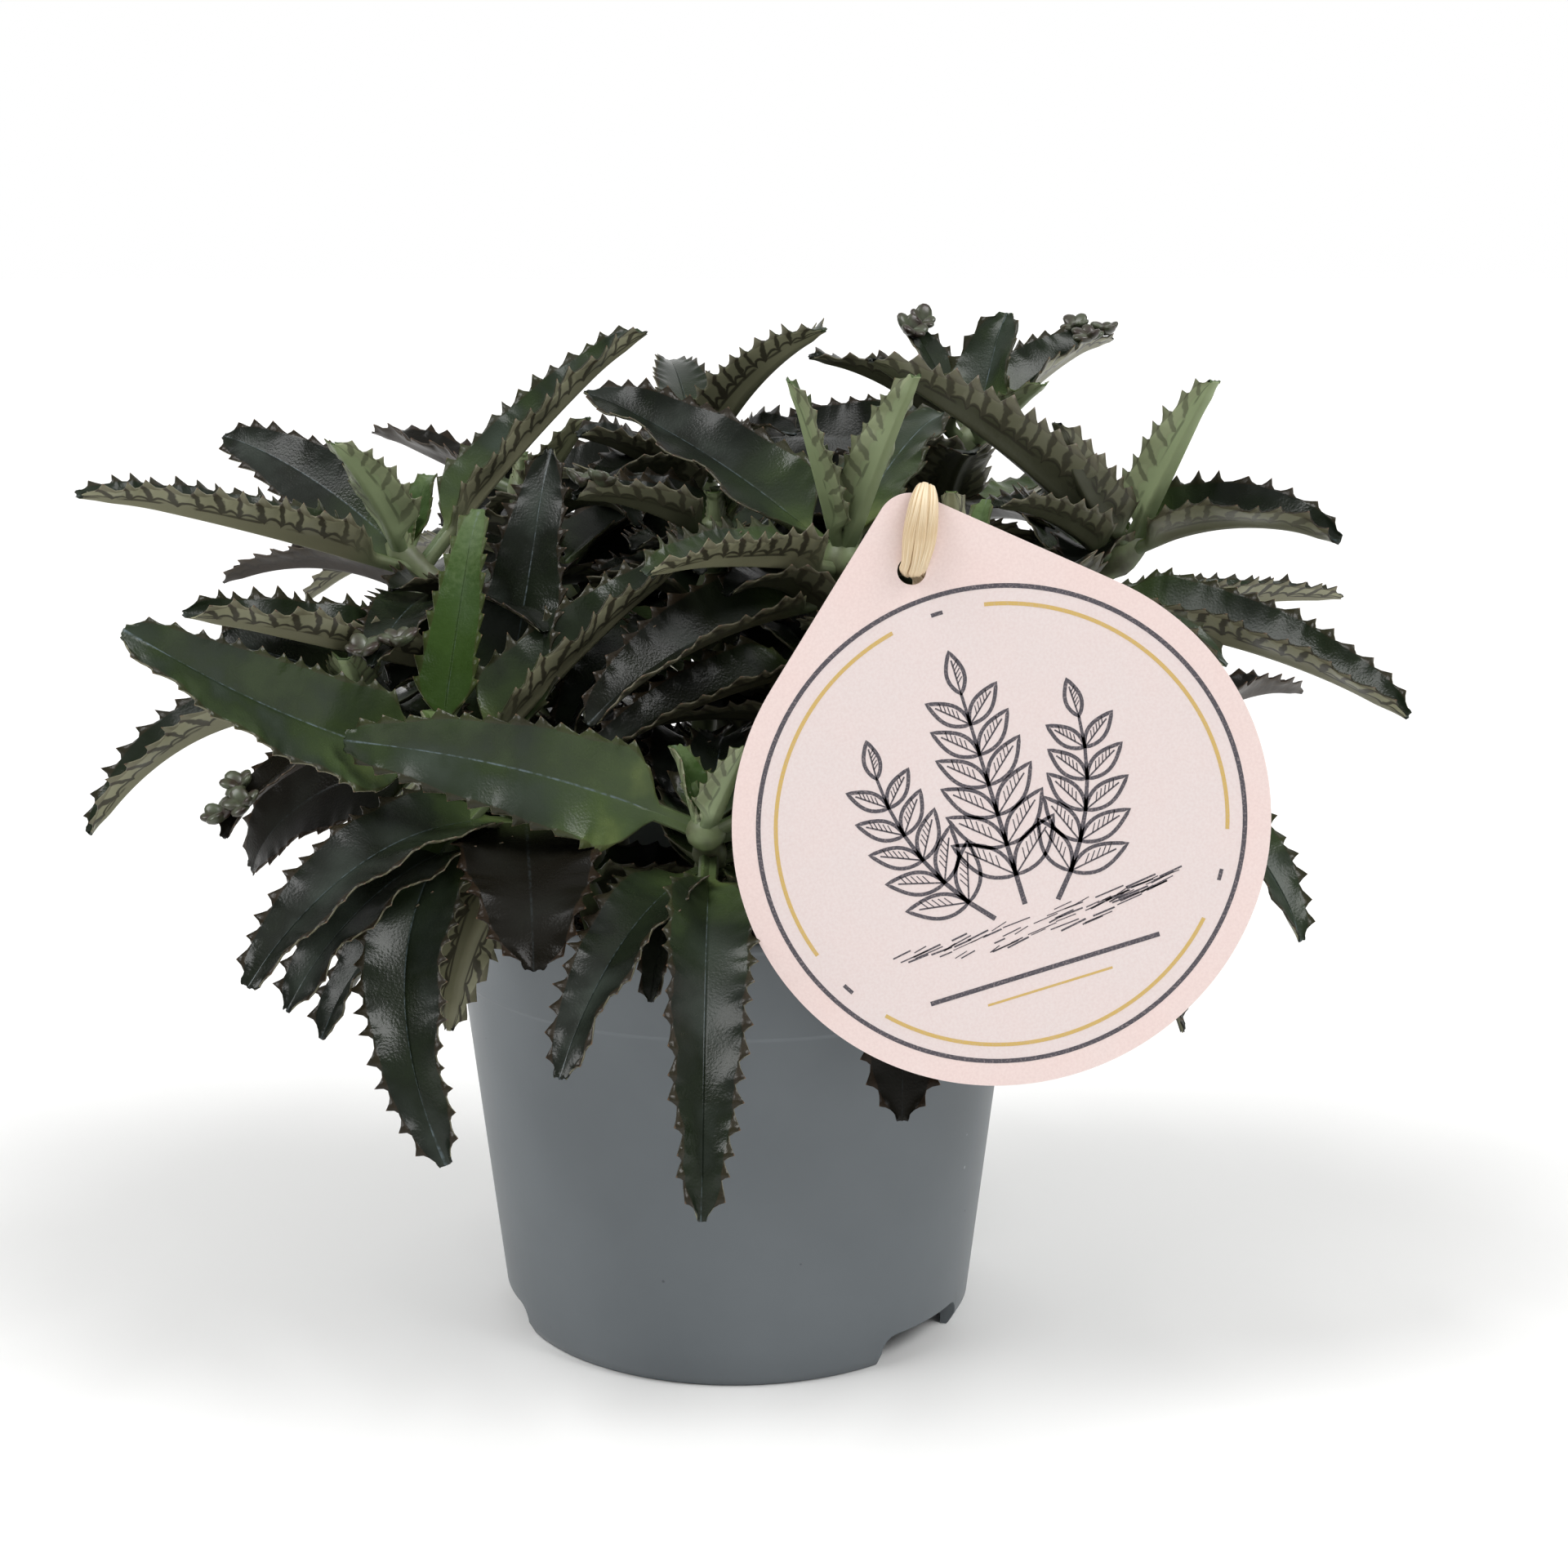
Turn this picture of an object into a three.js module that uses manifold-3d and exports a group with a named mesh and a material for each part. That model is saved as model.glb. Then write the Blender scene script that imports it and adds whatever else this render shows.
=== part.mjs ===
// A potted mother of thousands (a Kalanchoe hybrid): twelve leafy stems with toothed,
// trough-shaped leaves in opposite pairs, growing from soil in a round plastic nursery pot,
// with a drop-shaped card label tied on with raffia.
// Millimetres, +Z up, the origin at the centre of the pot's foot. The front is -Y.
import * as THREE from "three";
import { mergeVertices } from "three/addons/utils/BufferGeometryUtils.js";
import Module from "manifold-3d";

// ---- driving dimensions -------------------------------------------------------------
const CLEARANCE = 0.3; // gap between pieces that touch

const POT = {
  height: 97,
  footRadius: 49.3,
  footRingWidth: 1.7, // the flat ring that it stands on
  shoulderHeight: 3, // top of the rounded foot edge
  shoulderRadius: 50.8,
  stepHeight: 76.5, // where the collar starts
  stepRadius: 59.3,
  collarRadius: 59.9,
  collarRise: 0.8, // height of the sloping step
  rimRadius: 60.6,
  lip: 0.5, // how far the rolled lip stands out
  lipHeight: 2.2,
  lipEdge: 0.4,
  wall: 1.2,
  floor: 8, // underside of the raised floor
  segments: 32,
};
// Arches cut up into the foot, each at its heading in degrees anticlockwise from -Y.
const NOTCH = {
  width: 26,
  height: 6.5,
  corner: 3.5,
  cornerSegments: 4,
  headings: [51, -77, 167],
  inner: 40,
  outer: 60,
};
const DRAIN = { radius: 4, circle: 30, count: 4, length: 10, sides: 8 };

const SOIL = {
  level: 86,
  flatRadius: 24,
  slopeRadius: 46,
  slopeDrop: 1,
  edgeDrop: 3,
  hole: 18, // depth of the hole that a stem stands in
  holeSides: 8,
  bump: 1.1,
  bumpPitch: [20, 23], // length of the surface's waves along x and y
  segments: 22,
};

const STEM = {
  footRadius: 3.1,
  topRadius: 2.3,
  budRadius: 1.15, // of the stem's end, a bud's length above its last joint
  bud: 3,
  rise: 0.45, // share of the stem's height that starts off upright
  sides: 6,
  rings: 4,
};

const LEAF = {
  stalkShare: 0.15, // share of the midrib that is stalk
  stalkHalfWidth: 1.7,
  stalkThickness: 1.4,
  edge: 0.8, // blade thickness at the margin
  keel: 1.5, // how far the midrib stands out below the blade at the stalk
  widest: 0.17, // where the blade is widest, as a share of its length
  opening: 0.8, // a lower power gives a blade that widens sooner from its stalk
  taper: 0.5, // share of the width lost from there to the tip
  bluntness: 9, // a higher power gives a blunter tip
  toothPitch: 8,
  toothDepth: 2.1, // on a blade at least as wide as fullWidth, less on a young one
  fullWidth: 16,
  footTooth: 0.5, // size of the first tooth as a share of the others
  toothGrowth: 3, // how much the share grows over a whole blade's length, up to 1
  toothLean: 0.86, // where a tooth's point lies between its two notches
  lastNotch: 0.95,
};

const TAG = {
  centre: [48.3, -80, 123.7],
  radius: 49.2,
  heading: 107.5, // of its tab, in degrees anticlockwise from +X in the card's plane
  tabReach: 63.5,
  tabRadius: 6,
  thickness: 0.8,
  holeReach: 50,
  holeSide: -2,
  holeRadius: 2.6,
  curveSegments: 14,
};

// The raffia's closed loop: [x, y, z, half the width of the flattened bundle]. It goes through
// the card's hole, over the tab's edge, and back round the stem behind the card.
const TIE = {
  route: [
    [31.5, -80, 170.8, 2.1],
    [31.8, -81.7, 172.5, 2.2],
    [32.5, -82.1, 177, 2.7],
    [33.2, -82.6, 182.9, 2.3],
    [33.8, -80, 185.45, 1.5],
    [33.9, -77.4, 183, 1.5],
    [34.4, -62, 167, 1.4],
    [35, -47.6, 151.5, 1.4],
    [37.6, -39.2, 147.2, 1.4],
    [43.8, -40.6, 147.2, 1.4],
    [44.8, -47.6, 150, 1.4],
    [40, -62, 160, 1.4],
    [33, -76, 169.6, 1.5],
  ],
  flatness: 0.42, // depth of the bundle over its width
  steps: 44,
  sides: 6,
};

// Young plants on a margin: half sizes of a leaflet, and places as shares of the blade's length.
const PLANTLET = {
  leaflet: [2.6, 1.8, 1.1],
  leaflets: 2,
  reach: 0.8, // from the root to a leaflet's middle, as a share of its half length
  rise: 0.7,
  first: 0.94,
  spacing: 0.09,
};

// ---- the plant: one entry for each leafy stem ---------------------------------------
// foot: where it leaves the soil. top: its last joint.
// A leaf's row: share of the stem's length, tip [x, y, z], arch (how far the midrib rises
// above a straight line), full width, roll about the midrib, fold of each half from flat,
// and where there are any: sideways bow, and number of plantlets on the margin.
const STEMS = {
  front_left: {
    foot: [-28, -26],
    top: [-58, -44, 130],
    leaves: [
      [0.92, [-110, -76, 160], -3, 22.5, -70, 26],
      [0.9, [-12, -20, 165], 1, 22, 12, 52],
      [0.76, [-54, -90, 63], 9, 19, 0, 22, 10],
      [0.78, [-38, -12, 188], -2, 20, 0, 14],
      [1, [-52, -20, 177], 0, 12.5, 0, 24],
      [0.55, [-88, -92, 98], 11, 20, -15, 22],
      [0.46, [-79, -72, 82], 9, 17, 0, 24],
      [0.6, [-37, -84, 99], 6, 29, 0, 8],
      [0.5, [-56, -62, 80], 7, 14, 140, 20],
      [0.5, [-83, -83, 91], 10, 19, -12, 24],
    ],
  },
  front: {
    foot: [-4, -32],
    top: [-6, -55, 118],
    leaves: [
      [0.95, [-74, -62, 137], 3, 21, -80, 14],
      [0.95, [40, -70, 126], 5, 16, 0, 20],
      [0.75, [-6.5, -108, 59], 12, 18.5, -14, 30],
      [0.75, [-2, -8, 128], 6, 16, 0, 24],
      [0.6, [-32, -99, 83], 8, 17, 0, 22],
      [0.6, [20, -76, 84], 8, 15, 0, 22],
      [1, [-12, -48, 134], 0, 9, 0, 40],
      [1, [2, -62, 136], 0, 9, 0, 40],
    ],
  },
  front_right: {
    foot: [27, -29],
    top: [43, -48, 156],
    leaves: [
      [0.96, [93, -62, 152], 6, 17, 0, 30],
      [0.72, [66, -72, 90], 10, 17, 0, 24],
      [0.72, [42, 4, 146], 4, 16, 0, 24],
      [1, [40, -60, 184], 0, 9, 0, 30],
      [1, [49, -36, 180], 0, 9, 0, 30],
      [0.5, [31, -76, 66], 8, 24, 0, 12],
      [0.5, [88, -58, 78], 12, 17, 0, 24],
    ],
  },
  left: {
    foot: [-30, 4],
    top: [-70, 3, 164],
    leaves: [
      [0.95, [-126, -41, 182], 1, 18, -6, 43],
      [0.95, [-20, 29, 211], 2, 18, 6, 48],
      [0.9, [-113, 32, 188], 4, 19, -50, 16],
      [0.88, [-71, -42, 148], 3, 16, 0, 14, 0, 2],
      [1, [-80, -22, 190], 2, 14, 0, 26],
      [1, [-66, 20, 181], 0, 9, 0, 30],
      [0.62, [-106, -45, 159], 0, 21, -14, 48],
      [0.82, [-112, 20, 157], 7, 14, 0, 36],
      [0.5, [-96, 50, 116], 8, 16, 0, 24],
    ],
  },
  left_low: {
    foot: [-45, -6],
    top: [-78, -14, 136],
    leaves: [
      [0.95, [-132, -26, 111], 10, 17, -12, 46],
      [0.8, [-102, -44, 115], 6, 12, 0, 20, 0, 3],
      [0.6, [-106, 0, 97], 8, 26, -50, 16],
      [1, [-78, -32, 149], 0, 11, 0, 30],
      [0.97, [-104, -30, 150], 3, 22, -35, 20],
    ],
  },
  centre: {
    foot: [-8, 2],
    top: [-4, -4, 170],
    leaves: [
      [0.98, [-33, -16, 179], 2, 15, -4, 44, 0, 2],
      [0.78, [-36, -30, 128], 8, 17, 0, 24],
      [0.85, [24, 26, 178], 4, 15, 0, 24],
      [1, [6, 10, 186], 0, 9, 0, 30],
      [0.95, [-31, 2, 178], 3, 17, -12, 44],
    ],
  },
  mid_right: {
    foot: [16, -10],
    top: [22, -13, 166],
    leaves: [
      [0.98, [-32, 12, 198], 3, 23, -28, 28],
      [0.98, [46, 22, 194], 4, 21, 0, 20],
      [0.88, [-29, -50, 138], 5, 22, -18, 40],
      [0.88, [64, 8, 168], 5, 16, 0, 24],
      [1, [11, -30, 203], 0, 12, -50, 30],
      [1, [35, -36, 204], 0, 14, 0, 40],
      [0.96, [-17, -56, 168], 2, 19, -4, 40],
      [0.72, [-30, -44, 129], 3, 16, -18, 38],
    ],
  },
  right: {
    foot: [34, 2],
    top: [83, 0, 166],
    leaves: [
      [0.97, [123, -20, 170], 5, 20, 22, 50],
      [0.97, [26, -30, 206], 3, 20, 0, 46],
      [0.78, [130, -52, 139], 5, 22, 14, 50],
      [1, [96, -20, 202], 0, 15, -10, 52],
      [1, [65, -14, 193], -3, 16, 0, 50],
      [0.74, [135, 26, 152], 2, 15, 0, 42],
      [0.95, [51, -28, 178], 3, 14, 0, 30],
      [0.5, [98, 46, 114], 8, 16, 0, 24],
    ],
  },
  right_low: {
    foot: [44, -14],
    top: [84, -26, 126],
    leaves: [
      [0.95, [110, -58, 96], 6, 17, 0, 24],
      [0.95, [123, 10, 134], 5, 13, 0, 40],
      [0.6, [108, 16, 84], 10, 16, 0, 24],
    ],
  },
  back_right: {
    foot: [30, 30],
    top: [54, 42, 186],
    leaves: [
      [1, [61, 48, 214], 0, 22, 0, 20],
      [0.98, [88, 72, 208], 3, 19, 12, 46, 0, 3],
      [0.97, [16, 28, 205], 4, 14, 0, 24],
      [1, [40, 66, 212], 0, 12, 0, 24, 0, 2],
      [0.98, [66, 14, 200], 0, 12, 0, 24],
      [0.8, [106, 78, 160], 8, 17, 0, 24],
      [0.8, [16, 92, 166], 8, 17, 0, 24],
      [0.78, [50, 4, 187], 4, 18, 0, 16],
      [0.5, [92, 68, 92], 12, 17, 0, 24],
      [0.42, [56, 92, 86], 9, 16, 0, 24],
    ],
  },
  back: {
    foot: [0, 34],
    top: [-9, 50, 182],
    leaves: [
      [0.97, [19, 12, 211], 4, 17, 4, 36],
      [0.97, [-16, 94, 202], 4, 16, 0, 24],
      [0.8, [-60, 86, 170], 8, 17, 0, 24],
      [0.55, [-20, 109, 112], 12, 18, 0, 24],
      [0.4, [28, 98, 82], 12, 17, 0, 24],
      [0.45, [-46, 78, 96], 9, 16, 0, 24],
      [0.85, [-34, 22, 189], 3, 17, -14, 40],
      [0.92, [13, 30, 189], 3, 20, 14, 30],
    ],
  },
  back_left: {
    foot: [-27, 28],
    top: [-48, 42, 174],
    leaves: [
      [1, [-84, 66, 187], 0, 15, 0, 30],
      [0.97, [-32, 30, 192], 0, 12, 0, 24],
      [0.8, [-104, 76, 146], 8, 17, 0, 24],
      [0.8, [-50, 102, 140], 8, 17, 0, 24],
      [0.5, [-84, 80, 92], 12, 17, 0, 24],
      [0.4, [-82, 36, 92], 9, 16, 0, 24],
    ],
  },
};

// ---- helpers ------------------------------------------------------------------------
const wasm = await Module();
wasm.setup();

const rad = THREE.MathUtils.degToRad;
const vec = (p) => new THREE.Vector3(...p);
const UP = new THREE.Vector3(0, 0, 1);

// A closed geometry as a manifold-3d solid.
function solidOf(geometry) {
  const plain = geometry.clone();
  plain.deleteAttribute("normal");
  plain.deleteAttribute("uv");
  const merged = mergeVertices(plain, 1e-4);
  return new wasm.Manifold(
    new wasm.Mesh({
      numProp: 3,
      vertProperties: merged.attributes.position.array,
      triVerts: new Uint32Array(merged.index.array),
    }),
  );
}

// A manifold-3d solid as a flat-shaded geometry.
function geometryOf(solid) {
  const { vertProperties, triVerts } = solid.getMesh();
  const geometry = new THREE.BufferGeometry()
    .setAttribute("position", new THREE.BufferAttribute(vertProperties, 3))
    .setIndex(new THREE.BufferAttribute(triVerts, 1));
  geometry.computeVertexNormals();
  return geometry;
}

function indexed(points, faces) {
  return new THREE.BufferGeometry()
    .setAttribute("position", new THREE.Float32BufferAttribute(points.flatMap((p) => p.toArray()), 3))
    .setIndex(faces.flat());
}

// A solid through rings of equally many points, its ends capped, or joined where it is a loop.
function loft(rings, loop = false) {
  const sides = rings[0].length;
  const points = rings.flat();
  const faces = [];
  const spans = loop ? rings.length : rings.length - 1;
  for (let i = 0; i < spans; i++) {
    const a = i * sides;
    const b = ((i + 1) % rings.length) * sides;
    for (let k = 0; k < sides; k++) {
      const n = (k + 1) % sides;
      faces.push([a + k, a + n, b + n], [a + k, b + n, b + k]);
    }
  }
  const end = points.length - sides;
  for (let k = 1; !loop && k < sides - 1; k++) {
    faces.push([0, k + 1, k], [end, end + k, end + k + 1]);
  }
  return solidOf(indexed(points, faces));
}

// ---- leaf ---------------------------------------------------------------------------
// Half the blade's width at a share s of its length.
function halfWidth(width, s) {
  const opening = Math.sin((Math.min(1, s / LEAF.widest) * Math.PI) / 2) ** LEAF.opening;
  const narrowing = 1 - LEAF.taper * Math.max(0, s - LEAF.widest);
  const tip = Math.sqrt(1 - s ** LEAF.bluntness);
  return Math.max(LEAF.stalkHalfWidth, (width / 2) * opening * narrowing * tip);
}

function leafSolid(joint, [, tipPoint, arch, width, roll, fold, bow = 0, plantlets = 0]) {
  const tip = vec(tipPoint);
  const chord = tip.clone().sub(joint).normalize();
  const side = chord.clone().cross(UP).normalize();
  const lift = side.clone().cross(chord);
  const crest = joint.clone().add(tip).multiplyScalar(0.5);
  crest.addScaledVector(lift, 2 * arch).addScaledVector(side, 2 * bow);
  const midrib = new THREE.QuadraticBezierCurve3(joint, crest, tip);
  const bladeLength = midrib.getLength() * (1 - LEAF.stalkShare);
  const teeth = Math.max(3, Math.round(bladeLength / LEAF.toothPitch));
  const depth = LEAF.toothDepth * Math.min(1, width / LEAF.fullWidth);

  // The right-handed frame of the blade at a share t of the midrib.
  const frameAt = (t) => {
    const at = midrib.getPointAt(t);
    const along = midrib.getTangentAt(t);
    const across = side.clone().projectOnPlane(along).normalize().applyAxisAngle(along, rad(roll));
    const up = across.clone().cross(along);
    return { at, along, across, up };
  };
  // A point of the margin: hand 1 or -1, out from the midrib and off the blade's middle face.
  const marginPoint = (t, hand, out, off) => {
    const f = frameAt(t);
    const bend = rad(fold);
    return f.at
      .addScaledVector(f.across, hand * (Math.cos(bend) * out - Math.sin(bend) * off))
      .addScaledVector(f.up, Math.sin(bend) * out + Math.cos(bend) * off);
  };
  const ribPoint = (t, off) => {
    const f = frameAt(t);
    return f.at.addScaledVector(f.up, off);
  };

  const points = [];
  const add = (p) => points.push(p) - 1;
  const station = (t, out, thick, keel, ribbed = true) => ({
    rib: ribbed && [add(ribPoint(t, thick / 2)), add(ribPoint(t, -thick / 2 - keel))],
    1: [add(marginPoint(t, 1, out, thick / 2)), add(marginPoint(t, 1, out, -thick / 2))],
    [-1]: [add(marginPoint(t, -1, out, thick / 2)), add(marginPoint(t, -1, out, -thick / 2))],
  });
  const bladeAt = (s) => LEAF.stalkShare + (1 - LEAF.stalkShare) * s;
  const stalk = station(0, LEAF.stalkHalfWidth, LEAF.stalkThickness, LEAF.keel);
  const notches = [];
  for (let i = 0; i <= teeth; i++) {
    const s = (LEAF.lastNotch * i) / teeth;
    const ribbed = i % 2 === 0 || i === teeth;
    notches.push(station(bladeAt(s), halfWidth(width, s), LEAF.edge, LEAF.keel * (1 - s), ribbed));
  }
  const apex = add(midrib.getPointAt(1));

  const faces = [];
  for (const hand of [1, -1]) {
    for (const face of [0, 1]) {
      // Faces wind one way on the upper right and the other way on each mirrored quarter.
      const turn = hand > 0 === (face === 0);
      const tri = (a, b, c) => faces.push(turn ? [a, b, c] : [a, c, b]);
      const edge = (st) => st[hand][face];
      const rib = (st) => st.rib[face];
      tri(rib(stalk), edge(stalk), edge(notches[0]));
      tri(rib(stalk), edge(notches[0]), rib(notches[0]));
      for (let i = 0; i < teeth; i += 2) {
        const [a, b, c] = notches.slice(i, i + 3);
        tri(rib(a), edge(a), edge(b));
        tri(rib(a), edge(b), rib(c ?? b));
        if (c) tri(rib(c), edge(b), edge(c));
      }
      tri(rib(notches[teeth]), edge(notches[teeth]), apex);
    }
    const wall = (a, b, c) => faces.push(hand > 0 ? [a, b, c] : [a, c, b]);
    const [topStalk, lowStalk] = stalk[hand];
    const [topFirst, lowFirst] = notches[0][hand];
    wall(topStalk, lowStalk, lowFirst);
    wall(topStalk, lowFirst, topFirst);
    for (let i = 0; i < teeth; i++) {
      const s = (LEAF.lastNotch * (i + LEAF.toothLean)) / teeth;
      const out = halfWidth(width, s) + depth * Math.min(1, LEAF.footTooth + LEAF.toothGrowth * s);
      const point = add(marginPoint(bladeAt(s), hand, out, 0));
      const [topA, lowA] = notches[i][hand];
      const [topB, lowB] = notches[i + 1][hand];
      wall(topA, lowA, point);
      wall(lowB, topB, point);
      wall(topB, topA, point);
      wall(lowA, lowB, point);
    }
    const [topLast, lowLast] = notches[teeth][hand];
    wall(topLast, lowLast, apex);
  }
  const cap = [stalk.rib[0], stalk[-1][0], stalk[-1][1], stalk.rib[1], stalk[1][1], stalk[1][0]];
  for (let k = 1; k < cap.length - 1; k++) faces.push([cap[0], cap[k], cap[k + 1]]);

  const grown = [];
  for (let i = 0; i < plantlets; i++) {
    const hand = i % 2 ? -1 : 1;
    const s = PLANTLET.first - PLANTLET.spacing * i;
    const root = marginPoint(bladeAt(s), hand, halfWidth(width, s), LEAF.edge / 2);
    grown.push(...plantlet(root, frameAt(bladeAt(s)), i));
  }
  return wasm.Manifold.union([solidOf(indexed(points, faces)), ...grown]);
}

// A plantlet's thick leaflets, spread in a small rosette round the point it grows from.
function plantlet(root, { along, across, up }, turn) {
  const [long, wide, thick] = PLANTLET.leaflet;
  const leaflets = [];
  for (let k = 0; k < PLANTLET.leaflets; k++) {
    const heading = (2 * Math.PI * k) / PLANTLET.leaflets + turn;
    const out = along
      .clone()
      .multiplyScalar(Math.cos(heading))
      .addScaledVector(across, Math.sin(heading))
      .addScaledVector(up, PLANTLET.rise)
      .normalize();
    const flat = out.clone().cross(up).normalize();
    const placed = new THREE.Matrix4()
      .makeBasis(out, flat, out.clone().cross(flat))
      .setPosition(root.clone().addScaledVector(out, long * PLANTLET.reach));
    const leaflet = new THREE.OctahedronGeometry(1).scale(long, wide, thick).applyMatrix4(placed);
    leaflets.push(solidOf(leaflet));
  }
  return leaflets;
}

// ---- stem ---------------------------------------------------------------------------
function stemCurve({ foot, top }) {
  const start = new THREE.Vector3(...foot, SOIL.level);
  const end = vec(top);
  const rise = new THREE.Vector3(...foot, THREE.MathUtils.lerp(SOIL.level, end.z, STEM.rise));
  return new THREE.QuadraticBezierCurve3(start, rise, end);
}

function ringAt(centre, along, radius, sides) {
  const across = new THREE.Vector3(0, 1, 0).cross(along).normalize();
  const up = along.clone().cross(across);
  return Array.from({ length: sides }, (_, k) => {
    const a = (2 * Math.PI * k) / sides;
    return centre
      .clone()
      .addScaledVector(across, radius * Math.cos(a))
      .addScaledVector(up, radius * Math.sin(a));
  });
}

function stemSolid(stem) {
  const curve = stemCurve(stem);
  const root = new THREE.Vector3(...stem.foot, SOIL.level - SOIL.hole + CLEARANCE);
  const rings = [ringAt(root, UP, STEM.footRadius, STEM.sides)];
  for (let i = 0; i <= STEM.rings; i++) {
    const t = i / STEM.rings;
    const radius = THREE.MathUtils.lerp(STEM.footRadius, STEM.topRadius, t);
    rings.push(ringAt(curve.getPointAt(t), curve.getTangentAt(t), radius, STEM.sides));
  }
  const bud = vec(stem.top).addScaledVector(curve.getTangentAt(1), STEM.bud);
  rings.push(ringAt(bud, curve.getTangentAt(1), STEM.budRadius, STEM.sides));
  return loft(rings);
}

function leafyStem(stem) {
  const curve = stemCurve(stem);
  const leaves = stem.leaves.map((row) => leafSolid(curve.getPointAt(row[0]), row));
  return wasm.Manifold.union([stemSolid(stem), ...leaves]);
}

// ---- pot ----------------------------------------------------------------------------
function lathe(profile, segments) {
  const points = profile.map(([r, z]) => new THREE.Vector2(r, z));
  return solidOf(new THREE.LatheGeometry(points, segments).rotateX(Math.PI / 2));
}

// The inside radius of the pot's wall at a height z.
function potInside(z) {
  const share = (z - POT.shoulderHeight) / (POT.stepHeight - POT.shoulderHeight);
  return THREE.MathUtils.lerp(POT.shoulderRadius, POT.stepRadius, share) - POT.wall;
}

function potSolid() {
  const { footRadius, footRingWidth, stepHeight, collarRadius, collarRise, rimRadius, wall } = POT;
  const floorTop = POT.floor + wall;
  const lipRadius = rimRadius + POT.lip;
  const lipBottom = POT.height - POT.lipHeight;
  const profile = [
    [0, POT.floor],
    [footRadius - footRingWidth, POT.floor],
    [footRadius - footRingWidth, 0],
    [footRadius, 0],
    [POT.shoulderRadius, POT.shoulderHeight],
    [POT.stepRadius, stepHeight],
    [collarRadius, stepHeight + collarRise],
    [rimRadius, lipBottom - POT.lip],
    [lipRadius, lipBottom],
    [lipRadius, POT.height - POT.lipEdge],
    [rimRadius, POT.height],
    [rimRadius - wall, POT.height],
    [collarRadius - wall, stepHeight + collarRise + wall],
    [potInside(stepHeight), stepHeight],
    [potInside(floorTop), floorTop],
    [0, floorTop],
  ];
  const notchShape = new THREE.Shape();
  const half = NOTCH.width / 2;
  notchShape.moveTo(-half - 1, -NOTCH.height);
  notchShape.lineTo(half + 1, -NOTCH.height);
  notchShape.lineTo(half, NOTCH.height - NOTCH.corner);
  notchShape.quadraticCurveTo(half, NOTCH.height, half - NOTCH.corner, NOTCH.height);
  notchShape.lineTo(NOTCH.corner - half, NOTCH.height);
  notchShape.quadraticCurveTo(-half, NOTCH.height, -half, NOTCH.height - NOTCH.corner);
  let pot = lathe(profile, POT.segments);
  for (const heading of NOTCH.headings) {
    const depth = NOTCH.outer - NOTCH.inner;
    const options = { depth, bevelEnabled: false, curveSegments: NOTCH.cornerSegments };
    const cut = new THREE.ExtrudeGeometry(notchShape, options)
      .rotateX(Math.PI / 2)
      .translate(0, -NOTCH.inner, 0)
      .rotateZ(rad(heading));
    pot = pot.subtract(solidOf(cut));
  }
  for (let i = 0; i < DRAIN.count; i++) {
    const hole = new THREE.CylinderGeometry(DRAIN.radius, DRAIN.radius, DRAIN.length, DRAIN.sides)
      .rotateX(Math.PI / 2)
      .translate(DRAIN.circle, 0, POT.floor)
      .rotateZ((2 * Math.PI * i) / DRAIN.count);
    pot = pot.subtract(solidOf(hole));
  }
  return pot;
}

// ---- soil ---------------------------------------------------------------------------
function soilSolid() {
  const bottom = POT.floor + POT.wall + CLEARANCE;
  const edge = SOIL.level - SOIL.edgeDrop;
  const outside = potInside(POT.stepHeight) - CLEARANCE;
  const profile = [
    [0, bottom],
    [potInside(bottom) - CLEARANCE, bottom],
    [outside, POT.stepHeight],
    [outside, edge],
    [SOIL.slopeRadius, SOIL.level - SOIL.slopeDrop],
    [SOIL.flatRadius, SOIL.level],
    [0, SOIL.level],
  ];
  const points = profile.map(([r, z]) => new THREE.Vector2(r, z));
  const geometry = new THREE.LatheGeometry(points, SOIL.segments).rotateX(Math.PI / 2);
  const position = geometry.attributes.position;
  const [pitchX, pitchY] = SOIL.bumpPitch;
  for (let i = 0; i < position.count; i++) {
    const [x, y, z] = [position.getX(i), position.getY(i), position.getZ(i)];
    const bump = Math.sin((2 * Math.PI * x) / pitchX + 1) * Math.cos((2 * Math.PI * y) / pitchY + 2);
    // The uneven top leaves out the outer edge, and the centre, where every segment's point is one.
    if (z > edge + 1 && Math.hypot(x, y) > 1) position.setZ(i, z + SOIL.bump * bump);
  }
  let soil = solidOf(geometry);
  const radius = STEM.footRadius + CLEARANCE;
  const depth = 2 * SOIL.hole;
  for (const { foot } of Object.values(STEMS)) {
    const hole = new THREE.CylinderGeometry(radius, radius, depth, SOIL.holeSides)
      .rotateX(Math.PI / 2)
      .translate(...foot, SOIL.level - SOIL.hole + depth / 2);
    soil = soil.subtract(solidOf(hole));
  }
  return soil;
}

// ---- label --------------------------------------------------------------------------
function tagSolid() {
  // The outline in the card's plane, its tab upwards: a large arc and a small one joined by tangents.
  const small = TAG.tabReach - TAG.tabRadius;
  const open = Math.acos((TAG.radius - TAG.tabRadius) / small);
  const shape = new THREE.Shape();
  shape.absarc(0, 0, TAG.radius, Math.PI / 2 + open, Math.PI * 2.5 - open, false);
  shape.absarc(0, small, TAG.tabRadius, Math.PI / 2 - open, Math.PI / 2 + open, false);
  const hole = new THREE.Path();
  hole.absarc(TAG.holeSide, TAG.holeReach, TAG.holeRadius, 0, Math.PI * 2, true);
  shape.holes.push(hole);
  const options = { depth: TAG.thickness, bevelEnabled: false, curveSegments: TAG.curveSegments };
  const card = new THREE.ExtrudeGeometry(shape, options)
    .translate(0, 0, -TAG.thickness / 2)
    .rotateZ(rad(TAG.heading - 90))
    .rotateX(Math.PI / 2)
    .translate(...TAG.centre);
  return solidOf(card);
}

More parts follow.
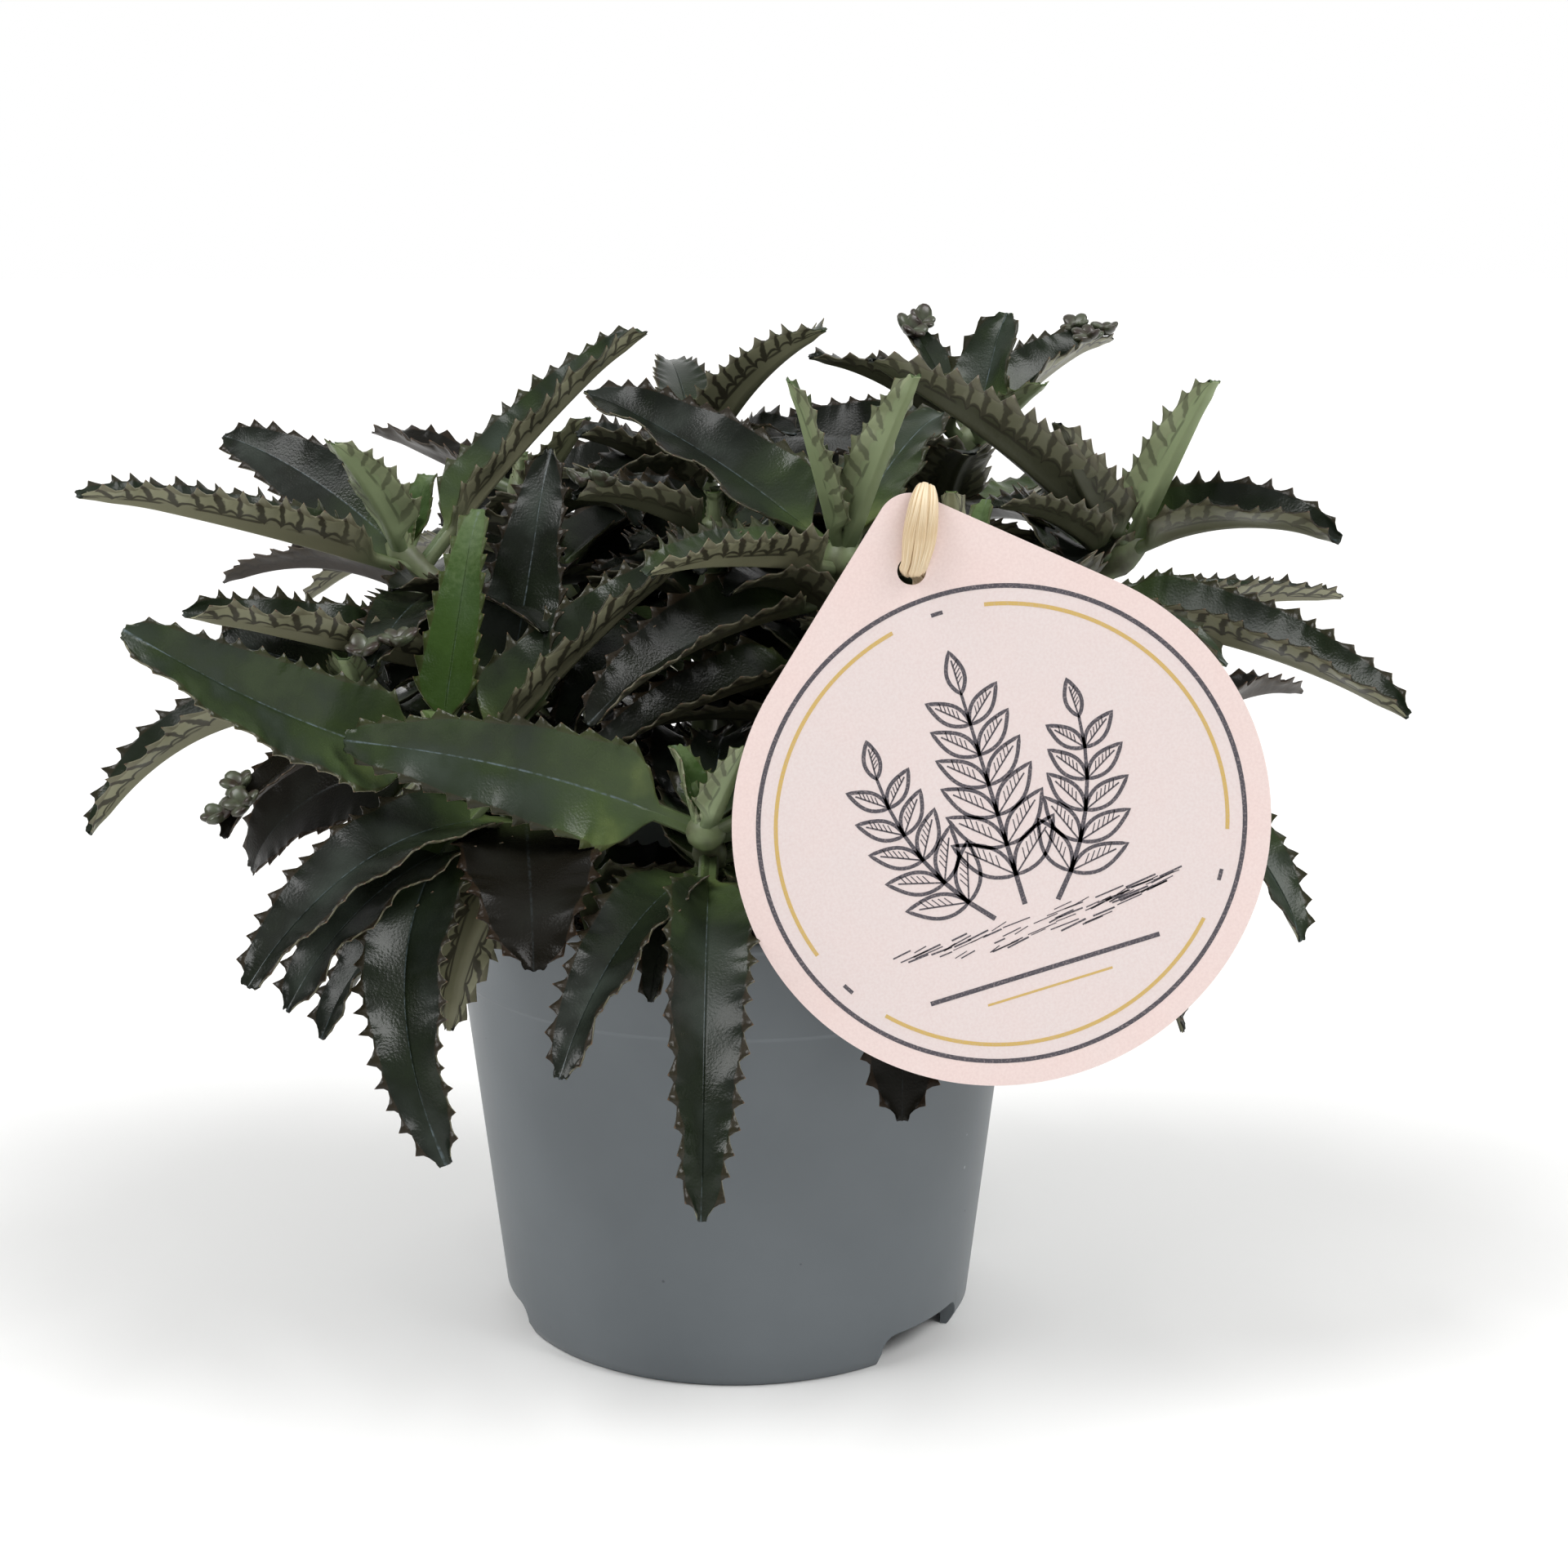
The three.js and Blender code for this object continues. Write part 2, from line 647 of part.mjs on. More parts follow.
function tieSolid() {
  const route = new THREE.CatmullRomCurve3(TIE.route.map(([x, y, z]) => new THREE.Vector3(x, y, z)), true);
  const girth = new THREE.CatmullRomCurve3(TIE.route.map(([, , , r]) => new THREE.Vector3(r, 0, 0)), true);
  const { normals, binormals } = route.computeFrenetFrames(TIE.steps, true);
  const rings = [];
  for (let i = 0; i < TIE.steps; i++) {
    const centre = route.getPointAt(i / TIE.steps);
    const half = girth.getPoint(route.getUtoTmapping(i / TIE.steps)).x;
    rings.push(
      Array.from({ length: TIE.sides }, (_, k) => {
        const a = (2 * Math.PI * k) / TIE.sides;
        return centre
          .clone()
          .addScaledVector(normals[i], half * Math.cos(a))
          .addScaledVector(binormals[i], half * TIE.flatness * Math.sin(a));
      }),
    );
  }
  return loft(rings, true);
}

// ---- the object ---------------------------------------------------------------------
const MATERIALS = {
  pot: new THREE.MeshStandardMaterial({ color: 0x6b7073, roughness: 0.55, metalness: 0 }),
  soil: new THREE.MeshStandardMaterial({ color: 0x2a2019, roughness: 1, metalness: 0 }),
  leaf: new THREE.MeshStandardMaterial({ color: 0x33402f, roughness: 0.4, metalness: 0 }),
  card: new THREE.MeshStandardMaterial({ color: 0xf0dcd8, roughness: 0.8, metalness: 0 }),
  raffia: new THREE.MeshStandardMaterial({ color: 0xd8bd8a, roughness: 0.7, metalness: 0 }),
};

const plant = new THREE.Group();
function addPiece(name, solid, material) {
  const mesh = new THREE.Mesh(geometryOf(solid), material);
  mesh.name = name;
  plant.add(mesh);
}

addPiece("pot", potSolid(), MATERIALS.pot);
addPiece("soil", soilSolid(), MATERIALS.soil);
for (const [name, stem] of Object.entries(STEMS)) {
  addPiece(`leafy_stem_${name}`, leafyStem(stem), MATERIALS.leaf);
}
addPiece("label_card", tagSolid(), MATERIALS.card);
addPiece("raffia_tie", tieSolid(), MATERIALS.raffia);

export default plant;
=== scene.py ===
"""A potted mother of thousands: twelve leafy stems in a round nursery pot, with a card label.

The plant is worked out in millimetres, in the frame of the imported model, and made into meshes in metres.
The front of the plant, where its label hangs, is -Y.
"""

import math
import random
from collections import namedtuple
from functools import partial
from types import SimpleNamespace as Sizes

import bpy
import numpy as np
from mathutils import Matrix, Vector, geometry, noise


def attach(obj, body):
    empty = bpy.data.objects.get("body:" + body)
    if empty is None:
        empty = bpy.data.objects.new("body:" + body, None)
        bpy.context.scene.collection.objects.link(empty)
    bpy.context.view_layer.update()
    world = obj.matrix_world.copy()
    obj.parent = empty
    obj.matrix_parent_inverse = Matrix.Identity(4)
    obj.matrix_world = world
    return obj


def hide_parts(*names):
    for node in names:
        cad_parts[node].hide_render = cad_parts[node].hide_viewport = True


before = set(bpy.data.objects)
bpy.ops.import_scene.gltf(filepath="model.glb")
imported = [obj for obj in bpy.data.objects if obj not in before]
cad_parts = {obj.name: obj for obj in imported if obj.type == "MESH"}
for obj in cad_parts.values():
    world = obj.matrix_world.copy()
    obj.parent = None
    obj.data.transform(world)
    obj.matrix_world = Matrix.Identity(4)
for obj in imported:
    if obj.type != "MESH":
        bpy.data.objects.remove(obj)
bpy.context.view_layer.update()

MM = 0.001
UP = np.array([0.0, 0.0, 1.0])
TURN = 2 * math.pi  # a full turn

# ---- sizes, in millimetres -------------------------------------------------------------------

POT = Sizes(
    height=97,
    foot_radius=49.3,
    ring_inside=47.6,
    shoulder_height=3,
    shoulder_radius=50.8,
    step_height=76.5,
    step_radius=59.3,
    collar_radius=59.9,
    collar_rise=0.8,
    rim_radius=60.6,
    lip=0.5,
    lip_height=2.2,
    wall=1.2,
    floor=8,
    notch_reach=9,  # how high the foot's arches change the wall
    segments=240,
    crisp=32,  # degrees: corners sharper than this stay crisp
)
# The arches in the pot's foot. headings: degrees round the pot from the front.
NOTCH = Sizes(width=26, height=6.5, corner=3.5, headings=(51, -77, 167), corner_steps=6, top_points=14)
DRAIN = Sizes(radius=4, circle=30, count=4)  # holes in the floor, on a circle
SOIL = Sizes(
    level=86,
    radius=57.6,
    fall=([24, 46, 57.6], [0, 1, 3]),  # distances from the middle, and how far the top has fallen there
    bump=1.1,
    bump_pitch=(20, 23),
    crumbs=((0.9, 5, 0), (0.5, 2, 9)),  # height and breadth of its unevenness, and a place in the noise
    hole=18,  # how deep a stem goes down
    gap=0.3,  # between the soil and the pot
    rings=40,
    around=150,
)
# Each kind of crumb: how many on a square metre, least and largest radius, seed.
CRUMBS = {"peat_crumbs": (1.6e5, 0.4, 1.2, 1), "bark_chips": (2.2e4, 0.8, 2.0, 2)}
STEM = Sizes(
    foot_radius=3.1,
    top_radius=2.3,
    rise=0.45,  # how high it climbs straight up first, as a share of its height
    sides=14,
    rings=44,
    swelling=1.0,
    joint=2.5,  # half the length of a swollen joint
    end={1.02: 0.85, 1.05: 0.3},  # share of the length, and the radius's share there
)
LEAF = Sizes(
    stalk_share=0.15,  # share of the midrib that is stalk
    stalk_half_width=1.7,
    stalk_top=0.6,
    stalk_depth=1.9,
    top=0.42,  # the blade's thickness above its middle face, at the midrib
    under=0.5,  # and below it
    thinning=0.45,  # share of those that is lost towards the margin
    margin=0.2,
    keel=1.5,
    keel_breadth=1.5,
    opening=0.8,  # below 1, the blade opens quickly from its stalk
    widest=0.17,
    taper=0.5,
    bluntness=13,
    tip_taper=0.28,
    tooth_pitch=4.5,
    tooth_depth=1.8,
    tooth_sizes=(0.7, 1.25),
    tooth_turns=(-0.1, 0.5),  # how far a tooth turns up
    tooth_leans=(0.05, 0.2),  # how far it leans towards the tip, in pitches
    full_width=16,  # blades narrower than this have smaller teeth
    rippled_width=18,
    teeth_end=0.98,  # share of the blade where the last tooth ends
    tip_points=1.2,  # how far the end's small points reach past the midrib
    droop_from=0.75,
    unevenness=0.22,  # how far a tooth's place wanders, as a share of the pitch
)
# How leaves differ: the least and the most of each, drawn in this order.
DIFFERS = {
    "wave": (16, 24),  # from one ripple of the margin to the next
    "ripple": (0.35, 0.9),  # height of the ripples on a blade 18 wide
    "droop": (0, 1.6),  # how far the end hangs
    "hollow": (0.6, 1.3),  # how hollow the teeth's sides are
    "blunt_end": (0.15, 0.45),  # breadth of the end
    "tall": (0.8, 1.25),  # height of the teeth
    "crimp": (0.06, 0.26),  # how far a tooth lifts and the skin between two sinks
}
PLANTLET = Sizes(
    leaflet=(2.6, 1.9, 1.0),  # half its length, width and thickness
    leaflets=5,
    rise=0.7,  # how steeply the leaflets stand
    cup=0.35,  # how far a leaflet's sides turn up
    root=0.85,  # how far its middle lies from its root, in half lengths
    first=0.94,  # share of the blade where the first plantlet grows
    spacing=0.09,
    strays=(-0.2, 0.2),  # radians that a leaflet strays from its even place, and how leaflets differ
    rises=(0.4, 1.4),
    scales=(0.75, 1.1),
    rings=8,
    sides=10,
)
# The dark leaves deep in the clump: the joints that they grow from, and the least and the most that a
# tip reaches out and rises. None goes past the radius, the front, the lowest place or its stem's top.
INNER = Sizes(
    joints=(0.3, 0.42, 0.54, 0.66, 0.78, 0.9),
    reach=(26, 44),
    rise=(-4, 18),
    arch=(1, 6),
    width=(14, 20),
    fold=24,
    radius=72,
    front=-48,
    lowest=94,
    below_top=4,
)
BUD = Sizes(length=11, width=5, lean=28, fold=36)  # lean and fold in degrees
TAG = Sizes(
    centre=(48.3, -80, 123.7),
    radius=49.2,
    heading=107.5,  # degrees: the way the tab points
    tab_reach=63.5,
    tab_radius=6,
    thickness=0.8,
    hole_reach=50,
    hole_side=-2,
    hole_radius=2.6,
)
# The printed border: a dark ring, and inside it a gold one in three parts with a dark dash between two.
# starts, part and dash are in degrees, the last two from a start. inner_width is a share of the width.
RING = Sizes(
    radius=44.4,
    inner=41.2,
    width=0.85,
    inner_width=0.85,
    starts=(-18, 102, 222),
    part=96,
    dash=(106.5, 109.5),
)
# The drawn sprigs. Each one: root, heading and curl in degrees, length, pairs of leaves, lowest leaf's
# length. All of them: how much smaller the leaves grow, how they spread, their breadth, and their vein
# and hatching as shares of their length.
SPRIGS = (
    ((0, -15), 90, 0, 41, 6, 13),
    ((-6, -16), 130, -7, 35, 5, 11.5),
    ((6, -16), 50, 7, 35, 5, 11.5),
)
SPRIG = Sizes(
    taper=0.45, spread=48, breadth=0.4, vein=0.8, hatches=(0.25, 0.35, 0.45, 0.55, 0.65), hatch=0.13
)
# The drawn ground: short marks, the least and the most of each, in a shallow lens under the sprigs.
GROUND = Sizes(
    marks=70,
    start=(-27, 25),
    top=-17.5,
    depth=5,
    half=29,
    length=(2, 6),
    slant=(0.2, 0.9),
    width=(0.16, 0.35),
)
LINES = Sizes(stalk=(0.95, 0.55), outline=0.7, vein=0.3, hatch=0.2)  # widths of the drawn lines
INK_HEIGHT = 0.03
INK_ROOT = 0.05  # how deep a printed line is sunk into the card
DARK, GOLD = 1, 2  # the two inks' places among the card's materials
SEEDS = Sizes(leaves=40, ground=8, raffia=4)
# girth: a strand's radius as a share of half the width. flatness: the bundle's depth over its width.
# wander: how far a strand strays round the bundle, in radians. round: a strand's girth all round.
# steps: points along a strand. between: steps between two places of the route, to measure it by.
RAFFIA = Sizes(
    strands=20, girth=0.28, flatness=0.42, steps=150, between=24, sides=8, wander=0.25, round=3.5
)
# The raffia's closed route: x, y, z and half the width of the flattened bundle.
TIE_ROUTE = (
    (31.5, -80, 170.8, 2.1),
    (31.8, -81.7, 172.5, 2.2),
    (32.5, -82.1, 177, 2.7),
    (33.2, -82.6, 182.9, 2.3),
    (33.8, -80, 185.45, 1.5),
    (33.9, -77.4, 183, 1.5),
    (34.4, -62, 167, 1.4),
    (35, -47.6, 151.5, 1.4),
    (37.6, -39.2, 147.2, 1.4),
    (43.8, -40.6, 147.2, 1.4),
    (44.8, -47.6, 150, 1.4),
    (40, -62, 160, 1.4),
    (33, -76, 169.6, 1.5),
)

# How a leaf looks: how dark it has turned, how young it is, how dry, how much pale wax lies on
# it, which partly paints a sheen, and how strong the dark marks on its underside are.
LOOKS = {
    "teal": (0.52, 0.0, 0.0, 1.0, 0.7),
    # Hanging leaves: a darker teal, as painted shade where little light from the front reaches them.
    "hanging": (0.84, 0.0, 0.0, 0.7, 0.7),
    "dark": (0.93, 0.0, 0.0, 0.6, 0.8),
    "deep": (0.9, 0.0, 0.35, 0.4, 0.9),
    # Pale leaves: so much wax that its bloom paints a broad pale sheen.
    "pale": (0.55, 0.0, 0.0, 2.5, 0.95),
    "green": (0.28, 0.05, 0.0, 0.35, 0.85),
    "striped": (0.68, 0.0, 0.0, 0.4, 1.0),
    # Banded leaves: a lighter copy of striped, as painted light on undersides that face away from the lamps.
    "banded": (0.48, 0.0, 0.0, 0.4, 1.0),
    "young": (0.0, 1.0, 0.0, 0.4, 0.6),
    "brown": (1.0, 0.0, 0.75, 0.1, 0.7),
    "inner": (0.95, 0.0, 0.1, 0.1, 0.8),
    "bud": (0.1, 0.8, 0.0, 0.2, 0.5),
}

# A leaf: its joint as a share of the stem's length, its tip, how far it arches, its width, roll and fold
# in degrees, its look, and where there are any: sideways bow, and number of plantlets on its margin.
Leaf = namedtuple("Leaf", "joint tip arch width roll fold look bow plantlets", defaults=(0, 0))

# One entry for each leafy stem. foot: where it leaves the soil. top: its last joint. leaves: a row for
# each. A leaf that looks "inner" is a dark one deep in the clump, which the solids leave out.
STEMS = {
    "front_left": {
        "foot": (-28, -26),
        "top": (-58, -44, 130),
        "leaves": (
            (0.92, (-110, -76, 160), -3, 22.5, -70, 26, "teal"),
            (0.9, (-12, -20, 165), 1, 22, 12, 52, "striped"),
            (0.76, (-54, -90, 63), 9, 19, 0, 22, "hanging", 10),
            (0.78, (-38, -12, 188), -2, 20, 0, 14, "dark"),
            (1, (-52, -20, 177), 0, 12.5, 0, 24, "young"),
            (0.55, (-88, -92, 98), 11, 20, -15, 22, "dark"),
            (0.46, (-79, -72, 82), 9, 17, 0, 24, "dark"),
            (0.6, (-37, -84, 99), 6, 29, 0, 8, "brown"),
            (0.5, (-56, -62, 80), 7, 14, 140, 20, "striped"),
            (0.5, (-83, -83, 91), 10, 19, -12, 24, "dark"),
        ),
    },
    "front": {
        "foot": (-4, -32),
        "top": (-6, -55, 118),
        "leaves": (
            (0.95, (-74, -62, 137), 3, 21, -80, 14, "teal"),
            (0.95, (40, -70, 126), 5, 16, 0, 20, "teal"),
            (0.75, (-6.5, -108, 59), 12, 18.5, -14, 30, "hanging"),
            (0.75, (-2, -8, 128), 6, 16, 0, 24, "dark"),
            (0.6, (-32, -99, 83), 8, 17, 0, 22, "dark"),
            (0.6, (20, -76, 84), 8, 15, 0, 22, "dark"),
            (1, (-12, -48, 134), 0, 9, 0, 40, "young"),
            (1, (2, -62, 136), 0, 9, 0, 40, "young"),
            (0.4, (-17, -68, 87), 9, 10, 0, 24, "inner"),
            (0.45, (-10, -76, 86), 10, 9, 0, 24, "inner"),
        ),
    },
    "front_right": {
        "foot": (27, -29),
        "top": (43, -48, 156),
        "leaves": (
            (0.96, (93, -62, 152), 6, 17, 0, 30, "teal"),
            (0.72, (66, -72, 90), 10, 17, 0, 24, "dark"),
            (0.72, (42, 4, 146), 4, 16, 0, 24, "striped"),
            (1, (40, -60, 184), 0, 9, 0, 30, "green"),
            (1, (49, -36, 180), 0, 9, 0, 30, "young"),
            (0.5, (31, -76, 66), 8, 24, 0, 12, "brown"),
            (0.5, (88, -58, 78), 12, 17, 0, 24, "dark"),
        ),
    },
    "left": {
        "foot": (-30, 4),
        "top": (-70, 3, 164),
        "leaves": (
            (0.95, (-126, -41, 182), 1, 18, -6, 43, "striped"),
            (0.95, (-20, 29, 211), 2, 18, 6, 48, "pale"),
            (0.9, (-113, 32, 188), 4, 19, -50, 16, "dark"),
            (0.88, (-71, -42, 148), 3, 16, 0, 14, "dark", 0, 2),
            (1, (-80, -22, 190), 2, 14, 0, 26, "young"),
            (1, (-66, 20, 181), 0, 9, 0, 30, "young"),
            (0.62, (-106, -45, 159), 0, 21, -14, 48, "striped"),
            (0.82, (-112, 20, 157), 7, 14, 0, 36, "brown"),
            (0.5, (-96, 50, 116), 8, 16, 0, 24, "dark"),
            (0.62, (-71, -18, 140), 4, 20, -20, 30, "inner"),
            (0.72, (-90, 20, 140), 2, 24, -60, 10, "inner"),
        ),
    },
    "left_low": {
        "foot": (-45, -6),
        "top": (-78, -14, 136),
        "leaves": (
            (0.95, (-132, -26, 111), 10, 17, -12, 46, "striped"),
            (0.8, (-102, -44, 115), 6, 12, 0, 20, "brown", 0, 3),
            (0.6, (-106, 0, 97), 8, 26, -50, 16, "brown"),
            (1, (-78, -32, 149), 0, 11, 0, 30, "young"),
            (0.97, (-104, -30, 150), 3, 22, -35, 20, "dark"),
        ),
    },
    "centre": {
        "foot": (-8, 2),
        "top": (-4, -4, 170),
        "leaves": (
            (0.98, (-33, -16, 179), 2, 15, -4, 44, "dark", 0, 2),
            (0.78, (-36, -30, 128), 8, 17, 0, 24, "dark"),
            (0.85, (24, 26, 178), 4, 15, 0, 24, "striped"),
            (1, (6, 10, 186), 0, 9, 0, 30, "green"),
            (0.6, (-40, 24, 138), 8, 15, 0, 24, "inner"),
            (0.95, (-31, 2, 178), 3, 17, -12, 44, "dark"),
            (0.7, (15, 20, 173), 3, 20, 0, 24, "inner"),
            (0.3, (-31, 26, 115), 3, 22, -60, 10, "inner"),
        ),
    },
    "mid_right": {
        "foot": (16, -10),
        "top": (22, -13, 166),
        "leaves": (
            (0.98, (-32, 12, 198), 3, 23, -28, 28, "dark"),
            (0.98, (46, 22, 194), 4, 21, 0, 20, "teal"),
            (0.88, (-29, -50, 138), 5, 22, -18, 40, "deep"),
            (0.88, (64, 8, 168), 5, 16, 0, 24, "dark"),
            (1, (11, -30, 203), 0, 12, -50, 30, "young"),
            (1, (35, -36, 204), 0, 14, 0, 40, "young"),
            (0.96, (-17, -56, 168), 2, 19, -4, 40, "banded"),
            (0.72, (-30, -44, 129), 3, 16, -18, 38, "deep"),
            (0.6, (-1, 12, 143), 3, 22, -60, 10, "inner"),
        ),
    },
    "right": {
        "foot": (34, 2),
        "top": (83, 0, 166),
        "leaves": (
            (0.97, (123, -20, 170), 5, 20, 22, 50, "hanging"),
            (0.97, (26, -30, 206), 3, 20, 0, 46, "dark"),
            (0.78, (130, -52, 139), 5, 22, 14, 50, "striped"),
            (0.8, (34, 26, 160), 5, 16, 0, 24, "inner"),
            (1, (96, -20, 202), 0, 15, -10, 52, "young"),
            (1, (65, -14, 193), -3, 16, 0, 50, "dark"),
            (0.74, (135, 26, 152), 2, 15, 0, 42, "striped"),
            (0.95, (51, -28, 178), 3, 14, 0, 30, "dark"),
            (0.5, (98, 46, 114), 8, 16, 0, 24, "dark"),
            (0.86, (65, 30, 175), 3, 22, 0, 30, "inner"),
        ),
    },
    "right_low": {
        "foot": (44, -14),
        "top": (84, -26, 126),
        "leaves": (
            (0.95, (110, -58, 96), 6, 17, 0, 24, "teal"),
            (0.95, (123, 10, 134), 5, 13, 0, 40, "brown"),
            (0.6, (108, 16, 84), 10, 16, 0, 24, "dark"),
        ),
    },
    "back_right": {
        "foot": (30, 30),
        "top": (54, 42, 186),
        "leaves": (
            (1, (61, 48, 214), 0, 22, 0, 20, "teal"),
            (0.98, (88, 72, 208), 3, 19, 12, 46, "striped", 0, 3),
            (0.97, (16, 28, 205), 4, 14, 0, 24, "dark"),
            (1, (40, 66, 212), 0, 12, 0, 24, "striped", 0, 2),
            (0.98, (66, 14, 200), 0, 12, 0, 24, "young"),
            (0.8, (106, 78, 160), 8, 17, 0, 24, "teal"),
            (0.8, (16, 92, 166), 8, 17, 0, 24, "striped"),
            (0.78, (50, 4, 187), 4, 18, 0, 16, "dark"),
            (0.5, (92, 68, 92), 12, 17, 0, 24, "teal"),
            (0.42, (56, 92, 86), 9, 16, 0, 24, "dark"),
            (0.7, (3, 30, 140), 4, 26, -60, 10, "inner"),
            (0.6, (10, 40, 152), 4, 26, -60, 10, "inner"),
            (0.93, (5, 60, 184), 3, 22, -60, 10, "inner"),
            (0.82, (-2, 40, 170), 3, 24, -60, 10, "inner"),
        ),
    },
    "back": {
        "foot": (0, 34),
        "top": (-9, 50, 182),
        "leaves": (
            (0.97, (19, 12, 211), 4, 17, 4, 36, "banded"),
            (0.97, (-16, 94, 202), 4, 16, 0, 24, "striped"),
            (0.8, (-60, 86, 170), 8, 17, 0, 24, "teal"),
            (0.7, (-34, 8, 152), 5, 17, 0, 24, "inner"),
            (0.55, (-20, 109, 112), 12, 18, 0, 24, "teal"),
            (0.4, (28, 98, 82), 12, 17, 0, 24, "green"),
            (0.45, (-46, 78, 96), 9, 16, 0, 24, "dark"),
            (0.85, (-34, 22, 189), 3, 17, -14, 40, "dark"),
            (0.92, (13, 30, 189), 3, 20, 14, 30, "dark"),
            (0.72, (-47, 55, 159), 3, 26, -60, 10, "inner"),
            (0.6, (-26, 30, 150), 3, 24, -60, 10, "inner"),
            (0.9, (-49, 75, 173), 3, 24, -60, 10, "inner"),
        ),
    },
    "back_left": {
        "foot": (-27, 28),
        "top": (-48, 42, 174),
        "leaves": (
            (1, (-84, 66, 187), 0, 15, 0, 30, "brown"),
            (0.97, (-32, 30, 192), 0, 12, 0, 24, "green"),
            (0.8, (-104, 76, 146), 8, 17, 0, 24, "striped"),
            (0.8, (-50, 102, 140), 8, 17, 0, 24, "teal"),
            (0.5, (-84, 80, 92), 12, 17, 0, 24, "green"),
            (0.4, (-82, 36, 92), 9, 16, 0, 24, "dark"),
            (0.8, (-59, 60, 179), 2, 24, -60, 10, "inner"),
            (0.72, (-68, 45, 156), 2, 24, -60, 10, "inner"),
        ),
    },
}

# ---- nodes and colours -----------------------------------------------------------------------

MATH, RANGE, MIX = "ShaderNodeMath", "ShaderNodeMapRange", "ShaderNodeMix"
NOISE, RAMP, BUMP = "ShaderNodeTexNoise", "ShaderNodeValToRGB", "ShaderNodeBump"
VECTOR_MATH, ATTRIBUTE, PLACE = "ShaderNodeVectorMath", "ShaderNodeAttribute", "ShaderNodeTexCoord"
SPLIT, JOIN, CELLS = "ShaderNodeSeparateXYZ", "ShaderNodeCombineXYZ", "ShaderNodeTexVoronoi"
CHANCE, STORE = "FunctionNodeRandomValue", "GeometryNodeStoreNamedAttribute"


def linear(hex_colour):
    """An sRGB hex colour as linear red, green, blue and alpha."""
    channels = [int(hex_colour[i : i + 2], 16) / 255 for i in (1, 3, 5)]
    return tuple(c / 12.92 if c <= 0.04045 else ((c + 0.055) / 1.055) ** 2.4 for c in channels) + (1,)


def fill(node, inputs):
    """Fills a node's sockets, given by name or number, or in the order shown. Each takes a value, a hex
    colour, an output, or a node, which stands for its first shown output."""
    if isinstance(inputs, dict):
        pairs = [(node.inputs[name], value) for name, value in inputs.items()]
    else:
        pairs = zip([socket for socket in node.inputs if socket.enabled], inputs)
    for socket, value in pairs:
        if isinstance(value, bpy.types.Node):
            value = next(output for output in value.outputs if output.enabled)
        if isinstance(value, bpy.types.NodeSocket):
            node.id_data.links.new(value, socket)
        elif isinstance(value, str) and value.startswith("#"):
            socket.default_value = linear(value)
        else:
            socket.default_value = value


def add(tree, kind, inputs=(), stops=(), **settings):
    """Adds a node with its settings and links. stops: a colour ramp's places with their hex colours."""
    made = tree.nodes.new(kind)
    for key, value in settings.items():
        setattr(made, key, value)
    fill(made, inputs)
    if stops:
        elements = made.color_ramp.elements
        elements[0].position, elements[1].position = stops[0][0], stops[-1][0]
        elements[0].color, elements[-1].color = linear(stops[0][1]), linear(stops[-1][1])
        for place, colour in stops[1:-1]:
            elements.new(place).color = linear(colour)
    return made


def new_material(name, colour):
    """A plain material; returns it, the function that adds a node to it, and its shader."""
    material = bpy.data.materials.new(name)
    material.use_nodes = True
    material.diffuse_color = linear(colour)
    shader = material.node_tree.nodes["Principled BSDF"]
    fill(shader, {"Base Color": colour})
    return material, partial(add, material.node_tree), shader


# ---- camera, light and floor -----------------------------------------------------------------

FLOOR_GAP = 0.0001  # metres: the floor lies this far below the foot
FLOOR_REACH = 40.0  # metres, as good as the horizon
CAMERA = Sizes(place=(0, -520, 224), pan=-1.12, tilt=11.8, lens=56.94, sensor=36)
# Far, broad lights: the way to each, its strength, and its width in degrees as seen from the plant.
LIGHTS = {
    "softbox_left": ((-0.57, -0.27, 0.78), 1.9, 30),
    "softbox_right": ((0.57, -0.32, 0.76), 2.05, 30),
    "softbox_top": ((0.0, -0.1, 1.0), 0.5, 60),
    "softbox_front": ((0.1, -1.0, 0.15), 0.25, 70),
}
# The room's brightness low down, high up and behind the plant.
ROOM_LOW, ROOM_HIGH, ROOM_BEHIND = (0.55, 0.55, 0.55, 1), (0.08, 0.08, 0.08, 1), (1, 1, 1, 1)


def put(name, data):
    """A new object with this data, linked to the scene."""
    made = bpy.data.objects.new(name, data)
    bpy.context.scene.collection.objects.link(made)
    return made


def set_up_camera():
    data = bpy.data.cameras.new("camera")
    data.sensor_fit = "HORIZONTAL"
    data.sensor_width = CAMERA.sensor
    data.lens = CAMERA.lens
    camera = put("camera", data)
    camera.location = Vector(CAMERA.place) * MM
    camera.rotation_euler = (math.radians(90 - CAMERA.tilt), 0, math.radians(CAMERA.pan))
    bpy.context.scene.camera = camera


def set_up_lights():
    """Two broad lights at the sides, weak ones above and in front, and a room pale behind and low down."""
    for name, (towards, strength, breadth) in LIGHTS.items():
        data = bpy.data.lights.new(name, "SUN")
        data.energy = strength
        data.angle = math.radians(breadth)
        put(name, data).rotation_euler = Vector(towards).to_track_quat("Z", "Y").to_euler()
    world = bpy.data.worlds.new("studio")
    bpy.context.scene.world = world
    world.use_nodes = True
    node = partial(add, world.node_tree)
    ways = node(SPLIT, (node(PLACE).outputs["Generated"],)).outputs
    # Ways that point up, and ways that point behind the plant, as shares.
    high = node(RANGE, (ways["Z"], 0.1, 0.4, 0, 1))
    front = node(MIX, (high, ROOM_LOW, ROOM_HIGH), data_type="RGBA")
    behind = node(RANGE, (ways["Y"], 0.3, 0.9, 0, 1))
    tone = node(MIX, (behind, front, ROOM_BEHIND), data_type="RGBA")
    fill(world.node_tree.nodes["Background"], {"Color": tone})
    bpy.context.scene.view_settings.view_transform = "Standard"


def painted_studio_floor():
    """Matte white paint."""
    material, _, shader = new_material("floor_paint", "#F2F2F1")
    fill(shader, {"Roughness": 0.9})
    return material


